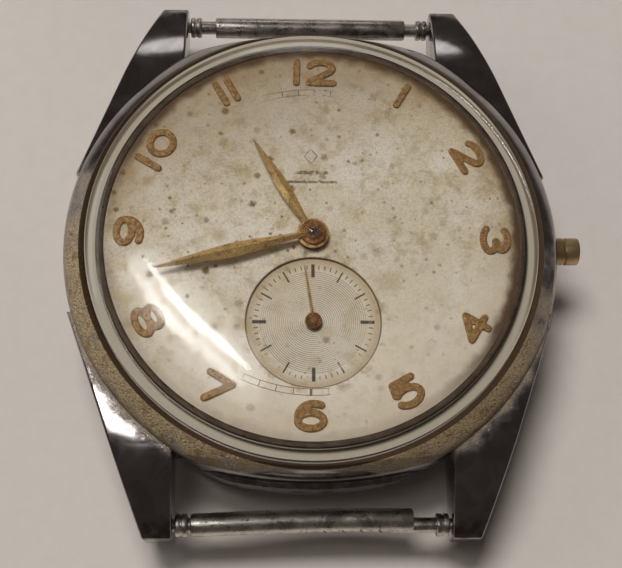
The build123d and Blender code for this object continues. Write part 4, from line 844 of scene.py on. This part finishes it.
# each numeral's strokes, in a frame from -1 to 1
STROKES = {
    "0": [bow(0, 0, 0.42, 0.8, 0, 360)],
    "1": [[(0, 0.85), (0, -0.85)]],
    "2": [bow(0, 0.36, 0.42, 0.46, 160, -35) + [(-0.42, -0.82), (0.45, -0.82)]],
    "3": [bow(0, 0.42, 0.38, 0.42, 150, -80), bow(0, -0.38, 0.43, 0.46, 80, -150)],
    "4": [[(0.18, -0.85), (0.18, 0.85), (-0.45, -0.3), (0.45, -0.3)]],
    "5": [[(0.38, 0.82), (-0.32, 0.82), (-0.38, 0.12)], bow(0, -0.28, 0.43, 0.55, 140, -150)],
    "6": [bow(0, -0.3, 0.42, 0.52, 0, 360), bow(0.1, -0.1, 0.52, 0.92, 190, 62)],
    "7": [[(-0.42, 0.82), (0.42, 0.82), (-0.14, -0.85)]],
    "8": [bow(0, 0.42, 0.36, 0.4, 0, 360), bow(0, -0.4, 0.43, 0.43, 0, 360)],
    "9": [bow(0, 0.3, 0.42, 0.52, 0, 360), bow(-0.1, 0.1, 0.52, 0.92, 10, -118)],
}


def bar_between(start, end, width, low, high):
    """A straight raised stroke with round ends."""
    start, end = Vector(start), Vector(end)
    gap = end - start
    centre, level, height = (start + end) / 2, (low + high) / 2, high - low
    stroke = block(gap.length, width, height)
    moved(stroke, Matrix.Rotation(math.atan2(gap.y, gap.x), 4, "Z"))
    shifted(stroke, centre.x, centre.y, level)
    ends = []
    for place in (start, end):
        cap = bmesh.new()
        bmesh.ops.create_cone(
            cap, cap_ends=True, segments=16, radius1=width / 2, radius2=width / 2, depth=height
        )
        ends.append(shifted(cap, place.x, place.y, level))
    return gathered(stroke, *ends)


def digit(symbol):
    low, high = DIAL_HIGH - 0.03, DIAL_HIGH + 0.13
    shapes = []
    for path in STROKES[symbol]:
        points = [(x * NUMERAL_SIZE, y * NUMERAL_SIZE / 2) for x, y in path]
        for start, end in zip(points, points[1:]):
            shapes.append(bar_between(start, end, NUMERAL_STROKE, low, high))
    return gathered(*shapes)


def make_numerals():
    """Raised gilt hours, softened and pitted by age; four to eight have their heads inwards."""
    widths = {"1": NUMERAL_STROKE, "4": 0.9 * NUMERAL_SIZE + NUMERAL_STROKE}
    usual = 0.86 * NUMERAL_SIZE + NUMERAL_STROKE
    shapes = []
    for hour in range(1, 13):
        clock = 30 * hour + DIAL_TURN
        spot = clocked(clock) @ Matrix.Translation((0, NUMERAL_RADIUS, 0))
        if 4 <= hour <= 8:
            spot = spot @ clocked(-180)
        spans = [widths.get(symbol, usual) for symbol in str(hour)]
        cursor = -(sum(spans) + NUMERAL_SPACE * (len(spans) - 1)) / 2
        for symbol, span in zip(str(hour), spans):
            shapes.append(moved(shifted(digit(symbol), cursor + span / 2), spot))
            cursor += span + NUMERAL_SPACE
    rough = loose(gathered(*shapes))
    fuse = rough.modifiers.new("fuse", "REMESH")
    fuse.mode = "VOXEL"
    fuse.voxel_size = 0.05
    soften = rough.modifiers.new("soften", "SMOOTH")
    soften.factor = 0.6
    soften.iterations = 3
    bm = settled(rough)
    for vert in bm.verts:
        if vert.co.z > DIAL_HIGH + 0.02:
            vert.co.z += 0.035 * noise.noise(vert.co * 5.0) + 0.015 * noise.noise(vert.co * 14.0)
    return piece("hour_numerals", bm, [NUMERAL_GILT], "case", ["hour_numerals"], 60)


# ---------------------------------------------------------------- hands
def leaf(start, length, neck, widest, share, tip, low, thick):
    """A hand's blade along twelve o'clock: two facets meet on a ridge."""
    bm = bmesh.new()
    bmesh.ops.create_grid(bm, x_segments=4, y_segments=60, size=0.5)
    for vert in bm.verts:
        across, along = 2 * vert.co.x, vert.co.y + 0.5
        if along < share:
            ease = 0.5 - 0.5 * math.cos(math.pi * along / share)
            width = neck + (widest - neck) * ease
        else:
            left = (1 - along) / (1 - share)
            width = tip + (widest - tip) * (1 - (1 - left) ** 1.25)
        height = thick * (0.15 + 0.85 * (1 - 0.95 * abs(across)))
        vert.co = (across * width / 2, start + along * (length - start), low + height)
    under = bmesh.ops.extrude_face_region(bm, geom=bm.faces[:])
    for item in under["geom"]:
        if isinstance(item, bmesh.types.BMVert):
            item.co.z = low
    return closed(bm)


def in_second_finish(bm):
    for face in bm.faces:
        face.material_index = 1
    return bm


def make_hour_hand():
    low, thick = 7.75, 0.25
    blade = leaf(0.6, 7.8, 0.42, 0.86, 0.45, 0.09, low, thick)
    hub = turned([
        (0.5, low), (1.05, low, 0.03), (1.05, low + 0.14, 0.05), (0.5, low + 0.14, 0.02),
    ], 96)
    hand = moved(gathered(blade, hub), clocked(HOUR_PLACE))
    return piece("hour_hand", hand, [HAND_GILT], "hour", ["hour_hand"])


def make_minute_hand():
    low, thick = 8.03, 0.26
    blade = leaf(0.5, 10.66, 0.4, 0.98, 0.5, 0.1, low, thick)
    hub = turned([
        (0.3, low), (0.85, low, 0.03), (0.85, low + 0.12, 0.05), (0.56, low + 0.14, 0.03),
        (0.52, low + 0.2, 0.03), (0.3, low + 0.2, 0.02),
    ], 96)
    hand = moved(gathered(blade, in_second_finish(hub)), clocked(MINUTE_PLACE))
    return piece("minute_hand", hand, [HAND_GILT, HUB_GILT], "minute", ["minute_hand"])


def make_centre_post():
    """The domed end of the centre arbor, standing out of the minute hand."""
    post = turned([(0, 8.1), (0.35, 8.1), (0.35, 8.3, 0.1), (0.2, 8.4, 0.08), (0, 8.44)], 64)
    return piece("centre_post_cap", post, [POST_STEEL], "minute")


def make_seconds_hand():
    low, thick = 7.5, 0.13
    blade = leaf(0.35, 3.78, 0.17, 0.17, 0.5, 0.07, low + 0.02, thick)
    hub = turned([
        (0.1, low), (0.55, low, 0.03), (0.55, low + 0.14, 0.04), (0.44, low + 0.14, 0.02),
        (0.42, low + 0.1), (0.34, low + 0.1), (0.32, low + 0.18, 0.03), (0.2, low + 0.18, 0.02),
        (0.18, low + 0.12), (0.1, low + 0.12),
    ], 72)
    hand = moved(gathered(blade, in_second_finish(hub)), clocked(SECONDS_PLACE))
    shifted(hand, *SUBDIAL)
    return piece("seconds_hand", hand, [HAND_GILT, HUB_GILT], "seconds", ["seconds_hand"])


# ---------------------------------------------------------------- spring bars
def bent(bm, left, right, rise):
    """Bows a tube gently towards the case, most at its right-hand end."""
    for vert in bm.verts:
        share = (vert.co.x - left) / (right - left)
        vert.co.y += rise * math.sin(min(max(share, 0), 1) * math.pi * 0.62)
    return bm


def make_bar_tube(node, y, rise):
    """A spring bar's tube, with rows of points along it so that it can be bent."""
    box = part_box(node)
    left, right = box[0].x / MM, box[1].x / MM
    tube = turned([(0.56, left), (0.75, left, 0.1), (0.75, right, 0.1), (0.56, right)], 64)
    for share in (0.2, 0.4, 0.6, 0.8):
        bmesh.ops.bisect_plane(
            tube, geom=tube.verts[:] + tube.edges[:] + tube.faces[:],
            plane_co=(0, 0, left + share * (right - left)), plane_no=(0, 0, 1),
        )
    tube = bent(along_x(tube, y, BAR_Z), left, right, rise)
    return piece(node, tube, [BAR_STEEL], node, [node])


def make_bar_tip(node, y, way):
    """A sprung tip: shank, a flange with a groove round it, and the pin that enters the lug."""
    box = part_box(node)
    inner = min(abs(box[0].x), abs(box[1].x)) / MM
    tip = turned([
        (0, inner), (0.48, inner, 0.03), (0.48, 8.02), (0.74, 8.04, 0.1), (0.74, 8.38, 0.04),
        (0.66, 8.42), (0.66, 8.5), (0.74, 8.54, 0.04), (0.74, 8.85, 0.1), (0.4, 8.85),
        (0.4, 9.7, 0.1), (0, 9.78),
    ], 64)
    tip = moved(along_x(tip, y, BAR_Z), Matrix.Diagonal((way, 1, 1, 1)))
    return piece(node, closed(tip), [BAR_STEEL], node, [node])


def make_bars():
    for name, y, rise in (("12", BAR_Y, 0.0), ("6", -BAR_Y, 0.33)):
        make_bar_tube(f"bar_tube_{name}", y, rise)
        make_bar_tip(f"bar_tip_{name}_left", y, -1)
        make_bar_tip(f"bar_tip_{name}_right", y, 1)


# ---------------------------------------------------------------- setting
def make_floor():
    bm = bmesh.new()
    bmesh.ops.create_grid(bm, x_segments=2, y_segments=2, size=600 * MM)
    floor = loose(bm, "floor")
    floor.data.materials.append(bench_top())


def make_camera():
    """Looks down steeply from the six o'clock side, close by and tilted a little."""
    data = bpy.data.cameras.new("camera")
    data.sensor_width = 36.0
    data.lens = 64.75
    data.clip_start = 0.002
    data.clip_end = 10.0
    camera = bpy.data.objects.new("camera", data)
    bpy.context.scene.collection.objects.link(camera)
    turn, rise, roll = (math.radians(value) for value in (-6.343, 70.772, 6.317))
    flat = math.cos(rise)
    back = Vector((math.sin(turn) * flat, -math.cos(turn) * flat, math.sin(rise)))
    level = (-back).cross(Vector((0, 0, 1))).normalized()
    upright = level.cross(-back)
    right = math.cos(roll) * level + math.sin(roll) * upright
    up = math.cos(roll) * upright - math.sin(roll) * level
    target = Vector((-0.036, -2.47, 5.0)) * MM
    place = Matrix((right, up, back)).transposed().to_4x4()
    place.translation = target + back * 76.191 * MM
    camera.matrix_world = place
    bpy.context.scene.camera = camera


WARM_WHITE = (1.0, 0.985, 0.96)
COOL_WHITE = (0.94, 0.97, 1.0)


def lamp(name, first, last, distance, width, power, colour=WARM_WHITE, mirrored=True):
    """An oval lamp stretching from one direction to another, in metres and watts.

    An unmirrored lamp lights the watch but shows no image of itself in polished faces.
    """
    first, last = Vector(first).normalized(), Vector(last).normalized()
    out = (first + last).normalized()
    along = (last - first).normalized()
    data = bpy.data.lights.new(name, "AREA")
    data.shape = "ELLIPSE"
    data.size = (last - first).length * distance
    data.size_y = width
    data.energy = power
    data.color = colour
    lit = bpy.data.objects.new(name, data)
    bpy.context.scene.collection.objects.link(lit)
    place = Matrix((along, out.cross(along), out)).transposed().to_4x4()
    place.translation = out * distance
    lit.matrix_world = place
    lit.visible_glossy = mirrored
    lit.visible_transmission = mirrored


def make_lights():
    world = bpy.data.worlds.new("studio")
    world.use_nodes = True
    sky = world.node_tree.nodes["Background"]
    sky.inputs["Color"].default_value = (0.95, 0.8, 0.72, 1)
    sky.inputs["Strength"].default_value = 0.06
    bpy.context.scene.world = world
    lamp("key_softbox", (-0.44, 0.36, 0.86), (0.06, 0.4, 0.9), 0.9, 0.28, 5.7, mirrored=False)
    # two thin tubes and their glow draw the streak of light on the crystal's dome
    lamp("tube_lamp_far", (-0.436, 0.285, 0.856), (-0.27, 0.035, 0.96), 0.6, 0.009, 0.06)
    lamp("tube_lamp_near", (-0.4, 0.2, 0.895), (-0.14, -0.062, 0.988), 0.6, 0.013, 0.12)
    lamp("lamp_glow", (-0.46, 0.3, 0.83), (-0.1, -0.11, 0.99), 0.6, 0.09, 0.2)
    # these two are what the bezel and the lugs mirror
    lamp("back_softbox", (-0.3, 0.9, 0.5), (0.2, 0.88, 0.5), 0.6, 0.12, 0.12)
    lamp("side_softbox", (-0.85, 0.08, 0.52), (-0.6, 0.58, 0.55), 0.6, 0.3, 0.35, COOL_WHITE)


make_case()
make_crystal()
make_tension_ring()
make_back()
make_pendant_tube()
make_dial()
make_subdial()
make_numerals()
make_hour_hand()
make_minute_hand()
make_centre_post()
make_seconds_hand()
make_bars()

# the rest of the movement keeps its own shape and takes a finish for its material
for entry in frame["record"]["subparts"]:
    node = frame["nodes"][entry["node"]]
    for material_slot in node.material_slots:
        material_slot.material = SLOT_FINISHES[entry["material_slot"]]

make_floor()
make_camera()
make_lights()
bpy.context.scene.view_settings.view_transform = "Standard"
